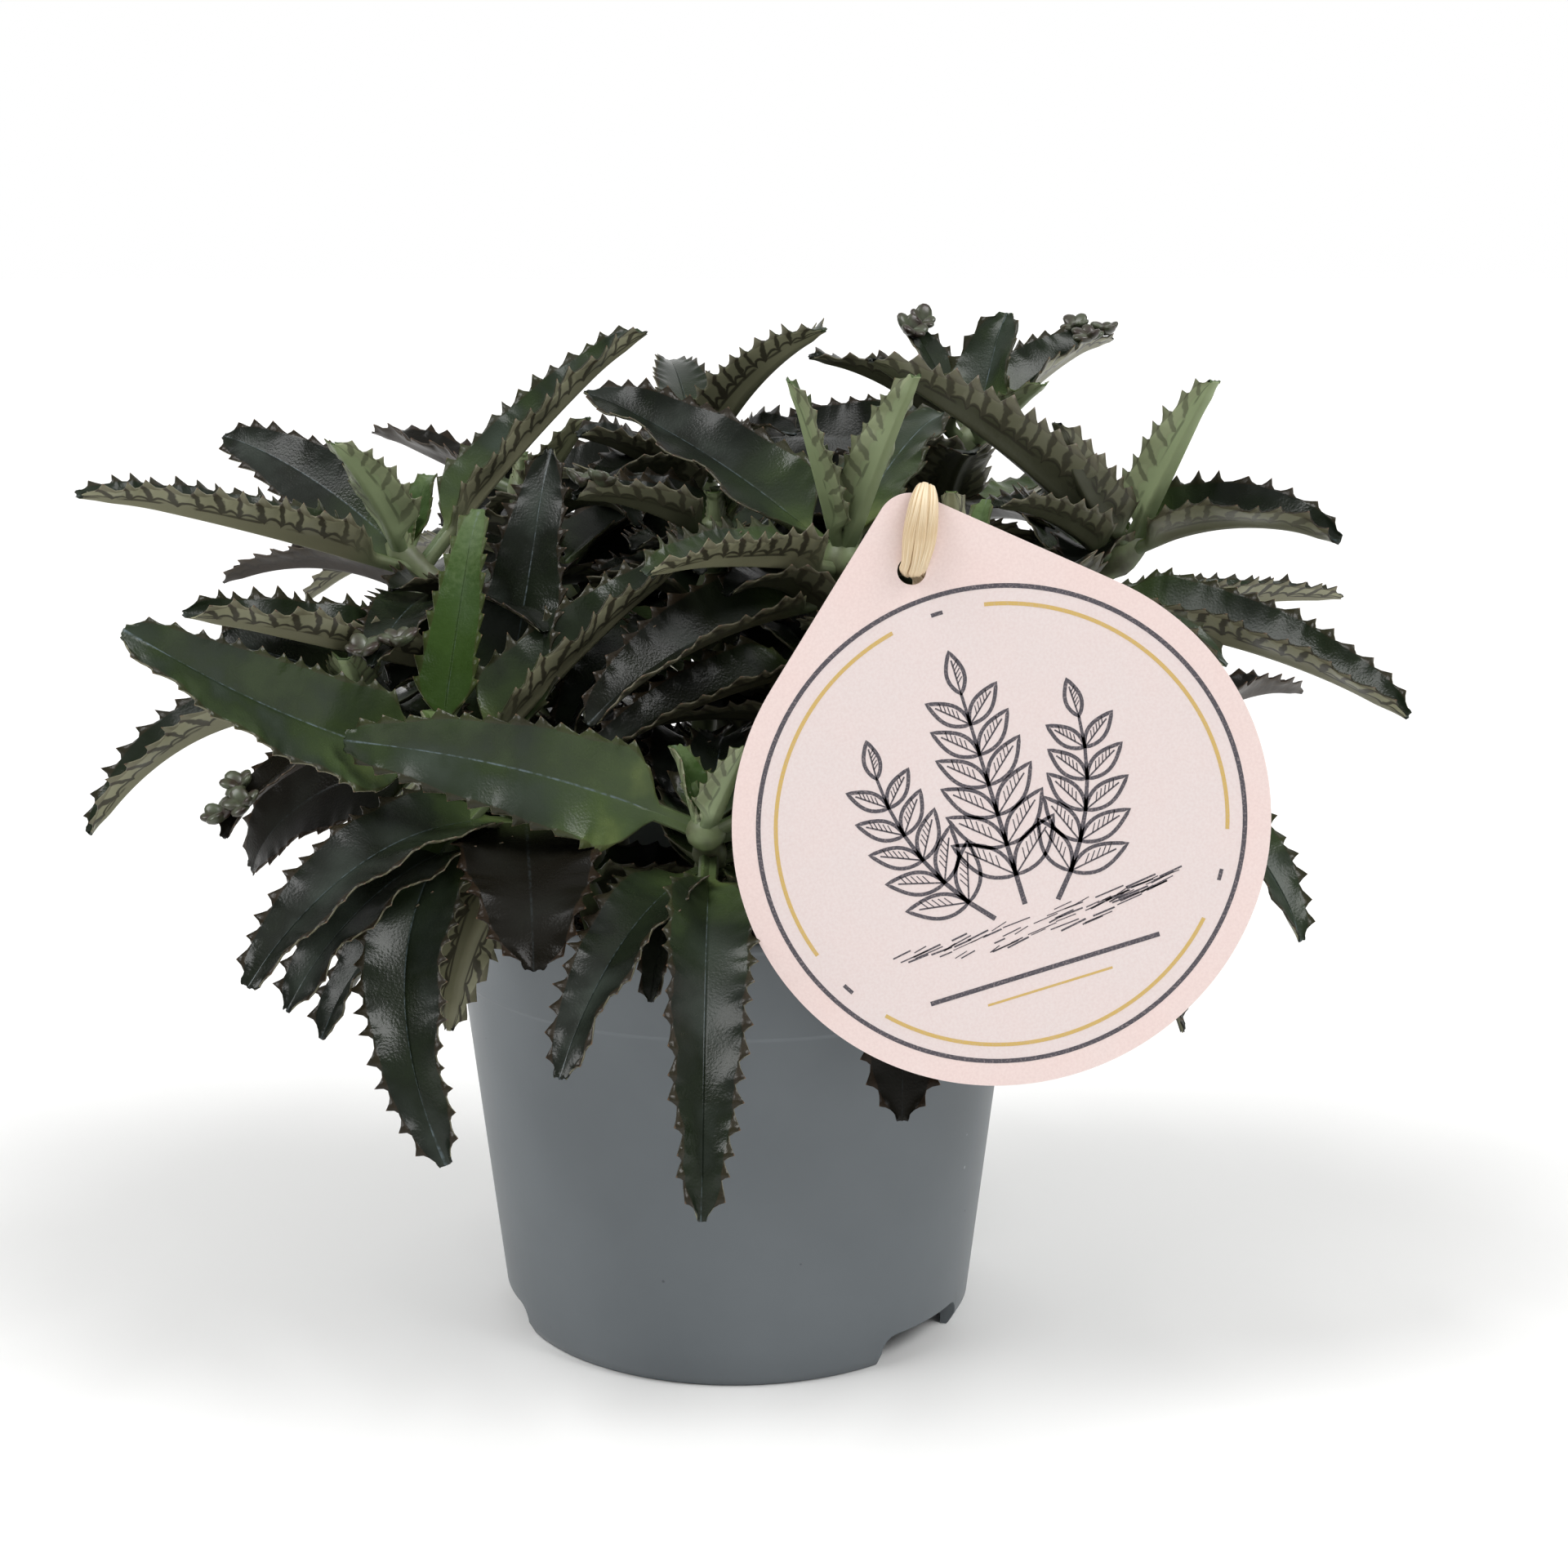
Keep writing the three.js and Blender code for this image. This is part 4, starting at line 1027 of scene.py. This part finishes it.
def add_leaf(shape, root, leaf, rng):
    """One leaf: a closed thin body with a channelled stalk, a crease along its midrib, and teeth."""
    q = np.append(ACROSS if leaf.look not in ("inner", "bud") else ACROSS[::2], 1.0)
    width, fold = leaf.width, math.radians(leaf.fold)
    dark, young, dry, wax, marks = LOOKS[leaf.look]
    frames, length = leaf_frame(root, leaf)
    blade = 1 - LEAF.stalk_share
    teeth = max(5, round(length * blade / LEAF.tooth_pitch))
    tooth_number, s = leaf_stations(teeth, rng)
    count = len(s)
    on_blade = np.maximum(s, 0)
    place, along, across, up = frames(LEAF.stalk_share + blade * s)

    # The blade's section: each half turns up a little more towards its margin.
    steps = np.linspace(0, 1, SECTION_STEPS + 1)
    slope = fold * (0.8 + 0.4 * steps)
    run, climb = (
        np.concatenate([[0], np.cumsum((way[1:] + way[:-1]) / 2)]) / SECTION_STEPS
        for way in (np.cos(slope), np.sin(slope))
    )

    sheets = {}
    phases = rng.uniform(0, TURN, 2)
    own = Sizes(**{name: rng.uniform(*span) for name, span in DIFFERS.items()})
    ripple = own.ripple * width / LEAF.rippled_width
    fullness = min(1, width / LEAF.full_width)
    hang = np.clip((s - LEAF.droop_from) / (1 - LEAF.droop_from), 0, 1) ** 2 * own.droop
    halves = np.where(s < 0, LEAF.stalk_half_width, half_width(width, on_blade, own.blunt_end))
    toothed = (tooth_number >= 0) & (tooth_number < teeth)
    number = np.clip(np.floor(tooth_number), 0, teeth).astype(int)
    rise = np.interp(np.where(toothed, tooth_number % 1, 0), [*TOOTH, 1], [*TOOTH_RISE, 0]) ** own.hollow
    # Teeth are smaller on a narrow blade, near its foot and near its end.
    depth = LEAF.tooth_depth * fullness * own.tall
    growth = np.minimum(1, 0.55 + 3 * on_blade) * (1 - 0.3 * smooth_step(0.8, 1, on_blade))
    above, below = leaf_thickness(s, q, halves, rise)
    for side, hand in enumerate((1, -1)):
        sizes = rng.uniform(*LEAF.tooth_sizes, teeth + 1)
        turns = rng.uniform(*LEAF.tooth_turns, teeth + 1)
        tooth = rise * depth * growth * sizes[number]
        forward = rng.uniform(*LEAF.tooth_leans) * length * blade * (LEAF.teeth_end / teeth) * rise**1.5

        out = halves[:, None] * np.interp(q, steps, run)[None, :]
        high = halves[:, None] * np.interp(q, steps, climb)[None, :]
        tilt = np.interp(q, steps, slope)
        out[:, -1] += tooth * math.cos(slope[-1])
        high[:, -1] += tooth * (math.sin(slope[-1]) + turns[number] * 0.5)
        # The blunt end bends forward into three small points.
        ending = np.clip((s - LEAF.teeth_end) / (1 - LEAF.teeth_end), 0, 1)
        points_ahead = 0.5 * depth * np.abs(np.cos(1.5 * np.pi * q)) * (q < 0.97)
        ahead = ending[:, None] * points_ahead[None, :]
        ahead[:, -1] = forward

        # Ripples of the margin, and a crimp that lifts each tooth and sinks the skin between two.
        swing = ripple * np.sin(TURN * s * length / own.wave + phases[side]) * smooth_step(0, 0.3, s)
        crimp = own.crimp * np.cos(TURN * (tooth_number % 1 - TOOTH_POINT))
        crimp = crimp * sizes[number] * toothed * fullness
        band = smooth_step(0.55, 0.9, q)
        bend = swing[:, None] * q[None, :] ** 2 + crimp[:, None] * band[None, :] - hang[:, None]

        for face, off in (("top", above), ("low", -below)):
            lift = bend + off
            x = out - np.sin(tilt) * lift
            z = high + np.cos(tilt) * lift
            sheets[face, hand] = (
                place[:, None, :]
                + hand * x[..., None] * across[:, None, :]
                + z[..., None] * up[:, None, :]
                + ahead[..., None] * along[:, None, :]
            )
        reach = q[None, :] + np.zeros((count, 1))
        reach[:, -1] += rise
        sheets["reach", hand] = reach

    def from_to(name, first, second):
        """What one side has, from its margin to the midrib, then the other side's out to its margin."""
        return np.concatenate([sheets[name, first][:, :0:-1], sheets[name, second]], axis=1)

    # One ring of points for each station: over the top from one margin to the other, back below.
    top = from_to("top", -1, 1)
    rings = np.concatenate([top, from_to("low", 1, -1)], axis=1)
    reach = np.concatenate([from_to("reach", -1, 1), from_to("reach", 1, -1)], axis=1)
    above_count, ring = top.shape[1], rings.shape[1]
    points, faces = loft(rings)
    looks = ([0] * above_count + [1] * (ring - above_count)) * (count - 1) + [1, 0]
    places = np.stack(np.broadcast_arrays(tooth_number[:, None], reach, s[:, None]), axis=-1)
    total, own_number = len(points), float(rng.uniform(0, 20))
    shape.extend(points, faces, looks, {
        "place": places.reshape(-1, 3),
        "growth": [(dark, young, dry)] * total,
        "skin": [(wax, marks, own_number)] * total,
    })


# ---- the plant -------------------------------------------------------------------------------


def add_plantlets(shape, root, leaf, rng):
    """Small rosettes of thick rounded leaflets on the leaf's margin, near its tip."""
    frames, _ = leaf_frame(root, leaf)
    fold = math.radians(leaf.fold)
    for i in range(leaf.plantlets):
        hand = -1 if i % 2 else 1
        s = PLANTLET.first - PLANTLET.spacing * i
        place, along, across, up = frames(LEAF.stalk_share + (1 - LEAF.stalk_share) * s)
        out = half_width(leaf.width, np.array(s))
        margin = place + hand * math.cos(fold) * out * across + math.sin(fold) * out * up
        add_rosette(shape, margin, along, across, up, rng)


def add_rosette(shape, root, along, across, up, rng):
    """One rosette: leaflets spread round the point it grows from, each a flattened cup."""
    long, wide, thick = PLANTLET.leaflet
    first = rng.uniform(0, TURN)
    for k in range(PLANTLET.leaflets):
        heading = first + TURN * k / PLANTLET.leaflets + rng.uniform(*PLANTLET.strays)
        rise = PLANTLET.rise * rng.uniform(*PLANTLET.rises)
        out = unit(math.cos(heading) * along + math.sin(heading) * across + rise * up)
        flat = unit(np.cross(out, up))
        face = np.cross(flat, out)
        scale = rng.uniform(*PLANTLET.scales)
        rings = []
        for a in np.linspace(-0.5, 0.5, PLANTLET.rings) * math.pi:
            reach, girth = math.sin(a), math.cos(a) + 0.02
            rings.append([
                root
                + scale * (long * (reach + PLANTLET.root) * out + wide * girth * math.cos(t) * flat)
                + scale * (thick * girth * math.sin(t) + PLANTLET.cup * (girth * math.cos(t)) ** 2) * face
                for t in np.linspace(0, TURN, PLANTLET.sides + 1)[:-1]
            ])
        shape.extend(*loft(rings), 3)


def stem_curve(stem):
    foot = np.array([*stem["foot"], SOIL.level], float)
    top = np.array(stem["top"], float)
    rise = foot + np.array([0, 0, (top[2] - SOIL.level) * STEM.rise])
    return bezier(foot, rise, top)


def add_stem(shape, stem):
    """A smooth stem, swollen at each joint, that goes down into the soil."""
    at, length = stem_curve(stem)
    joints = sorted({joint for joint, *_ in stem["leaves"]})
    rings = []
    for share in [-SOIL.hole / length, *np.linspace(0, 1, STEM.rings), *STEM.end]:
        inside = float(np.clip(share, 0, 1))
        place, along = at(inside)
        place = place + along * (share - inside) * length
        radius = STEM.foot_radius + (STEM.top_radius - STEM.foot_radius) * inside
        for joint in joints:
            radius += STEM.swelling * math.exp(-(((inside - joint) * length / STEM.joint) ** 2))
        radius *= STEM.end.get(share, 1)
        across = unit(np.cross(np.array([0.0, 1.0, 0.0]), along))
        back = np.cross(along, across)
        turns = TURN * np.arange(STEM.sides) / STEM.sides
        rings.append([place + radius * (across * math.cos(t) + back * math.sin(t)) for t in turns])
    shape.extend(*loft(rings), 2)


def inner_leaves(stem, rng):
    """The dark leaves deep in the clump: pairs up the stem, each at right angles to the last."""
    at, _ = stem_curve(stem)
    heading = rng.uniform(0, math.pi)
    leaves = []
    for share in INNER.joints:
        place = at(share)[0]
        for turn in (0, math.pi):
            out = rng.uniform(*INNER.reach)
            tip = place + out * np.array([math.cos(heading + turn), math.sin(heading + turn), 0])
            tip[2] += rng.uniform(*INNER.rise)
            tip[:2] *= min(1, INNER.radius / math.hypot(tip[0], tip[1]))
            tip[2] = min(tip[2], at(1)[0][2] - INNER.below_top)
            if tip[1] > INNER.front and tip[2] > INNER.lowest:
                arch, width = rng.uniform(*INNER.arch), rng.uniform(*INNER.width)
                leaves.append(Leaf(share, tip, arch, width, 0, INNER.fold, "inner"))
        heading += math.pi / 2 + rng.uniform(-0.3, 0.3)
    return leaves


def bud_leaves(stem, rng):
    """The youngest leaves, a small steep pair on the stem's last joint."""
    heading = rng.uniform(0, TURN)
    lean = math.radians(BUD.lean)
    out, rise = BUD.length * math.sin(lean), BUD.length * math.cos(lean)
    leaves = []
    for way in (heading, heading + math.pi):
        tip = np.array(stem["top"], float) + np.array([out * math.cos(way), out * math.sin(way), rise])
        leaves.append(Leaf(1, tip, 0, BUD.width, 0, BUD.fold, "bud"))
    return leaves


def make_leafy_stems():
    materials = [leaf_upper_skin(), leaf_under_skin(), stem_skin(), plantlet_skin()]
    for index, (name, stem) in enumerate(STEMS.items()):
        rng = np.random.default_rng(SEEDS.leaves + index)
        shape = Shape()
        add_stem(shape, stem)
        at, _ = stem_curve(stem)
        for row in stem["leaves"]:
            leaf = Leaf(*row)
            root = at(leaf.joint)[0]
            add_leaf(shape, root, leaf, rng)
            add_plantlets(shape, root, leaf, rng)
        for leaf in inner_leaves(stem, rng) + bud_leaves(stem, rng):
            add_leaf(shape, at(leaf.joint)[0], leaf, rng)
        foliage = shape.mesh_object(f"foliage_{name}", materials)
        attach(foliage, "root")
        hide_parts(f"leafy_stem_{name}")


# ---- the pot and its soil --------------------------------------------------------------------


def wall_radius(z):
    """The radius of the pot's outer wall at a height between its shoulder and its collar."""
    slope = (POT.step_radius - POT.shoulder_radius) / (POT.step_height - POT.shoulder_height)
    return POT.shoulder_radius + (z - POT.shoulder_height) * slope


def foot_columns():
    """Each direction round the pot with the height of its foot's edge there: 0 outside the arches."""
    columns = []
    half, corner = NOTCH.width / 2, NOTCH.corner
    # One side of an arch, from just outside it and round its corner, then its top and its other side.
    side = [(-half - 0.05, 0.0), (-half, NOTCH.height - corner)]
    for k in range(1, NOTCH.corner_steps + 1):
        a = math.pi / 2 * k / NOTCH.corner_steps
        side.append((-half + corner * (1 - math.cos(a)), NOTCH.height - corner * (1 - math.sin(a))))
    inner = np.linspace(-half + corner, half - corner, NOTCH.top_points)[1:-1]
    across = side + [(x, NOTCH.height) for x in inner] + [(-x, z) for x, z in side[::-1]]
    spans = []
    for heading in NOTCH.headings:
        middle = math.radians(heading - 90)
        turns = [(middle + math.asin(x / POT.foot_radius), z) for x, z in across]
        columns += turns
        spans.append((turns[0][0], turns[-1][0]))
    for k in range(POT.segments):
        turn = TURN * k / POT.segments
        if not any((turn - start) % TURN < end - start for start, end in spans):
            columns.append((turn, 0.0))
    return sorted((turn % TURN, z) for turn, z in columns)


def pot_profile(cut):
    """The pot's section as radius and height: from the foot's inside up the outer wall, over the lip and
    down the inner wall to the floor. cut: the height of the foot's edge here."""
    rim, top, lip = POT.rim_radius, POT.height, POT.lip
    under = top - POT.lip_height
    foot = POT.foot_radius + cut * (POT.shoulder_radius - POT.foot_radius) / POT.shoulder_height
    if cut > POT.shoulder_height:
        foot = wall_radius(cut)
    shoulder = max(cut + 0.05, POT.shoulder_height)
    floor_top = POT.floor + POT.wall
    return [
        (POT.ring_inside, cut),
        (foot - 0.35, cut),
        (foot, cut + 0.02 if cut else 0.35),
        (wall_radius(shoulder), shoulder),
        (wall_radius(POT.notch_reach), POT.notch_reach),
        (POT.step_radius - 0.05, POT.step_height - 0.4),
        (POT.step_radius + 0.05, POT.step_height),
        (POT.collar_radius - 0.08, POT.step_height + 0.55),
        (POT.collar_radius, POT.step_height + POT.collar_rise),
        (rim - 0.05, under - lip - 0.3),
        (rim + 0.1, under - lip + 0.05),
        (rim + lip - 0.1, under - 0.05),
        (rim + lip, under + 0.3),
        (rim + lip, top - 0.9),
        (rim + lip - 0.15, top - 0.4),
        (rim + lip - 0.5, top - 0.08),
        (rim, top),
        (rim - 0.7, top),
        (rim - 1.05, top - 0.12),
        (rim - 1.25, top - 0.5),
        (POT.collar_radius - POT.wall, POT.step_height + 2),
        (wall_radius(POT.step_height) - POT.wall, POT.step_height),
        (wall_radius(floor_top) - POT.wall, floor_top),
        (POT.ring_inside + 0.4, POT.floor + 0.4),
        (POT.ring_inside, POT.floor),
    ]


def make_pot():
    rings = []
    for turn, cut in foot_columns():
        rings.append([(r * math.cos(turn), r * math.sin(turn), z) for r, z in pot_profile(cut)])
    shape = Shape()
    points, faces = loft(rings, closed=True)
    shape.extend(points, [face[::-1] for face in faces])
    # The raised floor, with its drain holes; its edge is sunk into the wall.
    ways = [TURN * k / DRAIN.count for k in range(DRAIN.count)]
    holes = [circle(DRAIN.radius, 32, (DRAIN.circle * math.cos(t), DRAIN.circle * math.sin(t))) for t in ways]
    edge = circle(POT.ring_inside + 0.3, 120)
    shape.extend(*plate(edge, holes, POT.floor, POT.floor + POT.wall))
    pot = shape.mesh_object("plastic_pot", [moulded_polypropylene()])
    pot.data.set_sharp_from_angle(angle=math.radians(POT.crisp))
    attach(pot, "root")
    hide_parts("pot")


def soil_height(x, y):
    """The soil's uneven top: nearly flat, lower towards the wall."""
    fall = float(np.interp(math.hypot(x, y), *SOIL.fall))
    wide, deep = SOIL.bump_pitch
    lump = SOIL.bump * math.sin(TURN * x / wide + 1) * math.cos(TURN * y / deep + 2)
    crumble = sum(high * noise.noise(Vector((x, y, z)) / broad) for high, broad, z in SOIL.crumbs)
    return SOIL.level - fall + lump + crumble


def soil_crumbs_tree():
    """Scatters faceted crumbs of mixed sizes over a surface."""
    tree, node, given = new_tree(
        "soil_crumbs", Density="Float", Smallest="Float", Largest="Float", Seed="Int", Material="Material"
    )
    spread = {"Mesh": given["Geometry"], "Density": given["Density"], "Seed": given["Seed"]}
    spots = node("GeometryNodeDistributePointsOnFaces", spread)
    crumb = node("GeometryNodeMeshIcoSphere", {"Radius": 1.0, "Subdivisions": 1})
    # A crumb's size between the two given, its proportions, and a slight tilt with any heading.
    sizes = {2: given["Smallest"], 3: given["Largest"], "Seed": given["Seed"]}
    size = node(CHANCE, sizes, data_type="FLOAT")
    shape = node(CHANCE, {0: (0.6, 0.5, 0.35), 1: (1.4, 1.1, 0.8), "Seed": 3}, data_type="FLOAT_VECTOR")
    scale = node(VECTOR_MATH, (shape, size), operation="SCALE")
    spin = node(CHANCE, {0: (-0.6, -0.6, 0), 1: (0.6, 0.6, 6.28), "Seed": 5}, data_type="FLOAT_VECTOR")
    turn = node("FunctionNodeEulerToRotation", (spin,))
    set_out = {"Points": spots, "Instance": crumb, "Rotation": turn, "Scale": scale}
    finish_tree(node, node("GeometryNodeInstanceOnPoints", set_out), given["Material"])
    return tree


def make_soil():
    around = SOIL.around
    radii = list(np.linspace(0, SOIL.radius, SOIL.rings))[1:]
    points = [(0.0, 0.0, soil_height(0, 0))]
    for r in radii:
        for k in range(around):
            x, y = r * math.cos(TURN * k / around), r * math.sin(TURN * k / around)
            points.append((x, y, soil_height(x, y)))
    faces = [(0, 1 + k, 1 + (k + 1) % around) for k in range(around)]
    for i in range(len(radii) - 1):
        here, there = 1 + i * around, 1 + (i + 1) * around
        for k in range(around):
            m = (k + 1) % around
            faces.append((here + k, there + k, there + m, here + m))
    top = Shape()
    top.extend(points, faces)
    surface = top.mesh_object("soil_surface", [])
    # Down the inside of the wall to the pot's floor, a little clear of both.
    last, low = 1 + (len(radii) - 1) * around, len(points)
    bottom = POT.floor + POT.wall + SOIL.gap
    edge = (wall_radius(bottom) - POT.wall - SOIL.gap) / SOIL.radius
    points += [(x * edge, y * edge, bottom) for x, y, _ in points[last:]]
    for k in range(around):
        m = (k + 1) % around
        faces.append((last + k, low + k, low + m, last + m))
    faces.append(tuple(low + k for k in range(around))[::-1])
    body = Shape()
    body.extend(points, faces)
    mix = damp_potting_mix()
    soil = body.mesh_object("potting_mix", [mix])
    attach(soil, "root")
    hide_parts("soil")
    tree = soil_crumbs_tree()
    for (name, (density, smallest, largest, seed)), material in zip(CRUMBS.items(), (mix, composted_bark())):
        sizes = {"Smallest": smallest * MM, "Largest": largest * MM}
        mesh = grow(tree, surface, {"Density": density, **sizes, "Seed": seed, "Material": material})
        crumbs = put(name, mesh)
        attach(crumbs, "root")
    bpy.data.objects.remove(surface)


# ---- the label and its tie -------------------------------------------------------------------


def on_card(points):
    """Takes points of the card's own plane, with its tab upwards and its face towards +Z, to their place."""
    turn = math.radians(TAG.heading - 90)
    x0, y0, z0 = TAG.centre
    placed = []
    for x, y, z in points:
        u, v = x * math.cos(turn) - y * math.sin(turn), x * math.sin(turn) + y * math.cos(turn)
        placed.append((x0 + u, y0 - z, z0 + v))
    return placed


def card_outline():
    """A drop: a large arc and a small one for the tab, joined by tangents."""
    small = TAG.tab_reach - TAG.tab_radius
    open_angle = math.degrees(math.acos((TAG.radius - TAG.tab_radius) / small))
    body = arc(TAG.radius, 90 + open_angle, 450 - open_angle, 160)
    tab = arc(TAG.tab_radius, 90 - open_angle, 90 + open_angle, 24, (0, small))
    return body + tab


def add_ink(shape, points, width, look, closed=False):
    """A thin raised line along points of the card's plane, drawn with square ends."""
    line = np.array(points, float)
    if closed:
        ahead, behind = np.roll(line, -1, axis=0), np.roll(line, 1, axis=0)
    else:
        ahead, behind = np.vstack([line[1:], line[-1:]]), np.vstack([line[:1], line[:-1]])
    along = unit(ahead - behind)
    widths = np.broadcast_to(np.asarray(width), len(line))
    out = np.stack([-along[:, 1], along[:, 0]], axis=1) * widths[:, None] / 2
    low, high = TAG.thickness / 2 - INK_ROOT, TAG.thickness / 2 + INK_HEIGHT
    rings = [
        [(*(p - o), low), (*(p + o), low), (*(p + o), high), (*(p - o), high)] for p, o in zip(line, out)
    ]
    points, faces = loft(rings, closed)
    shape.extend(on_card(points), [face[::-1] for face in faces], look)


def lens(root, heading, length, width, steps=12):
    """The outline of a pointed leaf in the card's plane, from its root."""
    along = np.array([math.cos(math.radians(heading)), math.sin(math.radians(heading))])
    side = np.array([-along[1], along[0]])
    t = np.linspace(0, 1, steps + 1)
    bulge = width / 2 * np.sin(np.pi * t**0.85)
    near = [root + a * length * along + b * side for a, b in zip(t, bulge)]
    far = [root + a * length * along - b * side for a, b in zip(t, bulge)]
    return near + far[-2:0:-1], along, side


def add_sprig(shape, root, heading, curl, length, pairs, leaf):
    """A drawn sprig: a curved stalk with pairs of pointed leaves, veined and hatched."""
    place, step = np.array(root, float), length / (pairs + 1)
    spine = [place.copy()]
    for i in range(pairs + 1):
        turn = math.radians(heading + curl * i)
        place = place + step * np.array([math.cos(turn), math.sin(turn)])
        spine.append(place.copy())
    add_ink(shape, spine, np.linspace(*LINES.stalk, len(spine)), DARK)
    for i in range(1, pairs + 2):
        way = heading + curl * i
        size = leaf * (1 - SPRIG.taper * (i - 1) / (pairs + 1))
        for spread in (0,) if i == pairs + 1 else (SPRIG.spread, -SPRIG.spread):
            outline, along, side = lens(spine[i], way + spread, size, size * SPRIG.breadth)
            add_ink(shape, outline, LINES.outline, DARK, closed=True)
            add_ink(shape, [spine[i], spine[i] + SPRIG.vein * size * along], LINES.vein, DARK)
            for share in SPRIG.hatches:
                start = spine[i] + share * size * along
                end = start + SPRIG.hatch * size * (along - side * (1 if spread >= 0 else -1))
                add_ink(shape, [start, end], LINES.hatch, DARK)


def make_label_card():
    shape = Shape()
    hole = circle(TAG.hole_radius, 36, (TAG.hole_side, TAG.hole_reach))
    half = TAG.thickness / 2
    points, faces = plate(card_outline(), [hole], -half, half)
    shape.extend(on_card(points), faces, 0, {"card_plane": points})
    # The border, then three sprigs over a line of ground, and two plain rules below.
    add_ink(shape, circle(RING.radius, 144), RING.width, DARK, closed=True)
    thin = RING.width * RING.inner_width
    for start in RING.starts:
        add_ink(shape, arc(RING.inner, start, start + RING.part, 48), thin, GOLD)
        add_ink(shape, arc(RING.inner, start + RING.dash[0], start + RING.dash[1], 4), thin, DARK)
    for sprig in SPRIGS:
        add_sprig(shape, *sprig)
    marks = random.Random(SEEDS.ground)
    for _ in range(GROUND.marks):
        x = marks.uniform(*GROUND.start)
        y = GROUND.top - marks.uniform(0, GROUND.depth) * (1 - (x / GROUND.half) ** 2)
        end = (x + marks.uniform(*GROUND.length), y + marks.uniform(*GROUND.slant))
        add_ink(shape, [(x, y), end], marks.uniform(*GROUND.width), DARK)
    for half_length, y, width, look in ((22, -28, 0.9, DARK), (12, -31.5, 0.45, GOLD)):
        add_ink(shape, [(-half_length, y), (half_length, y)], width, look)
    inks = [printing_ink("charcoal_ink", "#47434A"), printing_ink("gold_ink", "#C8A860")]
    card = shape.mesh_object("hang_label", [uncoated_card()] + inks)
    card.data.polygons.foreach_set("use_smooth", [False] * len(card.data.polygons))
    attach(card, "root")
    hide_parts("label_card")


def raffia_tree():
    """Turns lines into raffia strands, round in section. Each point keeps how far along the strand and
    how far round it lies, in millimetres, for the fibres."""
    tree, node, given = new_tree("raffia_strands", Sides="Int", Material="Material")
    spline = node("GeometryNodeSplineParameter").outputs
    point = {"data_type": "FLOAT", "domain": "POINT"}
    reach = {"Geometry": given["Geometry"], "Name": "reach", "Value": spline["Length"]}
    lines = node(STORE, reach, **point)
    ring = node("GeometryNodeCurvePrimitiveCircle", {"Resolution": given["Sides"], "Radius": 1.0})
    section = node(STORE, {"Geometry": ring, "Name": "turn", "Value": spline["Factor"]}, **point)
    girth = node("GeometryNodeInputRadius")
    strands = node("GeometryNodeCurveToMesh", {"Curve": lines, "Profile Curve": section, "Scale": girth})
    way_along = node("GeometryNodeInputNamedAttribute", {"Name": "reach"}, data_type="FLOAT")
    way_around = node("GeometryNodeInputNamedAttribute", {"Name": "turn"}, data_type="FLOAT")
    along_mm = node(MATH, (way_along, 1 / MM), operation="MULTIPLY")
    around_mm = node(MATH, (way_around, RAFFIA.round), operation="MULTIPLY")
    both = {"Geometry": strands, "Name": "strand", "Value": node(JOIN, (along_mm, around_mm))}
    finish_tree(node, node(STORE, both, data_type="FLOAT_VECTOR", domain="POINT"), given["Material"])
    return tree


def closed_route(route, steps):
    """Evenly spread points, their girths and frames along a smooth closed line through the route."""
    knots = np.array(route, float)
    count = len(knots)
    fine = []
    for i in range(count):
        a, b, c, d = (knots[(i + k) % count] for k in (-1, 0, 1, 2))
        for t in np.linspace(0, 1, RAFFIA.between, endpoint=False):
            bent = (2 * a - 5 * b + 4 * c - d) * t**2 + (3 * b - a - 3 * c + d) * t**3
            fine.append(0.5 * (2 * b + (c - a) * t + bent))
    fine = np.array(fine + fine[:1])
    reach = np.concatenate([[0], np.cumsum(np.linalg.norm(np.diff(fine[:, :3], axis=0), axis=1))])
    even = np.linspace(0, reach[-1], steps, endpoint=False)
    line = np.stack([np.interp(even, reach, fine[:, k]) for k in range(4)], axis=1)
    along = unit(np.roll(line[:, :3], -1, axis=0) - np.roll(line[:, :3], 1, axis=0))
    side = [unit(np.cross(along[0], UP))]
    for way in along[1:]:
        side.append(unit(side[-1] - (side[-1] @ way) * way))
    side = np.array(side)
    return line[:, :3], line[:, 3], side, np.cross(along, side)


def make_raffia_tie():
    """Strips of raffia gathered into one tie, looped through the card's hole and round the stem."""
    places, girths, side, back = closed_route(TIE_ROUTE, RAFFIA.steps)
    lines = bpy.data.curves.new("raffia_lines", "CURVE")
    lines.dimensions = "3D"
    draw = random.Random(SEEDS.raffia)
    for k in range(RAFFIA.strands):
        turn = TURN * k / RAFFIA.strands
        thick = RAFFIA.girth * draw.uniform(0.8, 1.15)
        phase = draw.uniform(0, TURN)
        spline = lines.splines.new("POLY")
        spline.points.add(len(places) - 1)
        spline.use_cyclic_u = True
        for i, point in enumerate(spline.points):
            lay = turn + RAFFIA.wander * math.sin(2 * (TURN * i / len(places)) + phase)
            out = girths[i] * (1 - 0.5 * thick)
            spot = places[i] + out * (math.cos(lay) * side[i] + RAFFIA.flatness * math.sin(lay) * back[i])
            point.co = (*(spot * MM), 1)
            point.radius = girths[i] * thick * MM
    owner = put("raffia_lines", lines)
    mesh = grow(raffia_tree(), owner, {"Sides": RAFFIA.sides, "Material": dried_raffia()})
    bpy.data.objects.remove(owner)
    mesh.polygons.foreach_set("use_smooth", [True] * len(mesh.polygons))
    tie = put("raffia_strands", mesh)
    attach(tie, "root")
    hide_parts("raffia_tie")


set_up_camera()
set_up_lights()
make_floor()
make_leafy_stems()
make_pot()
make_soil()
make_label_card()
make_raffia_tie()
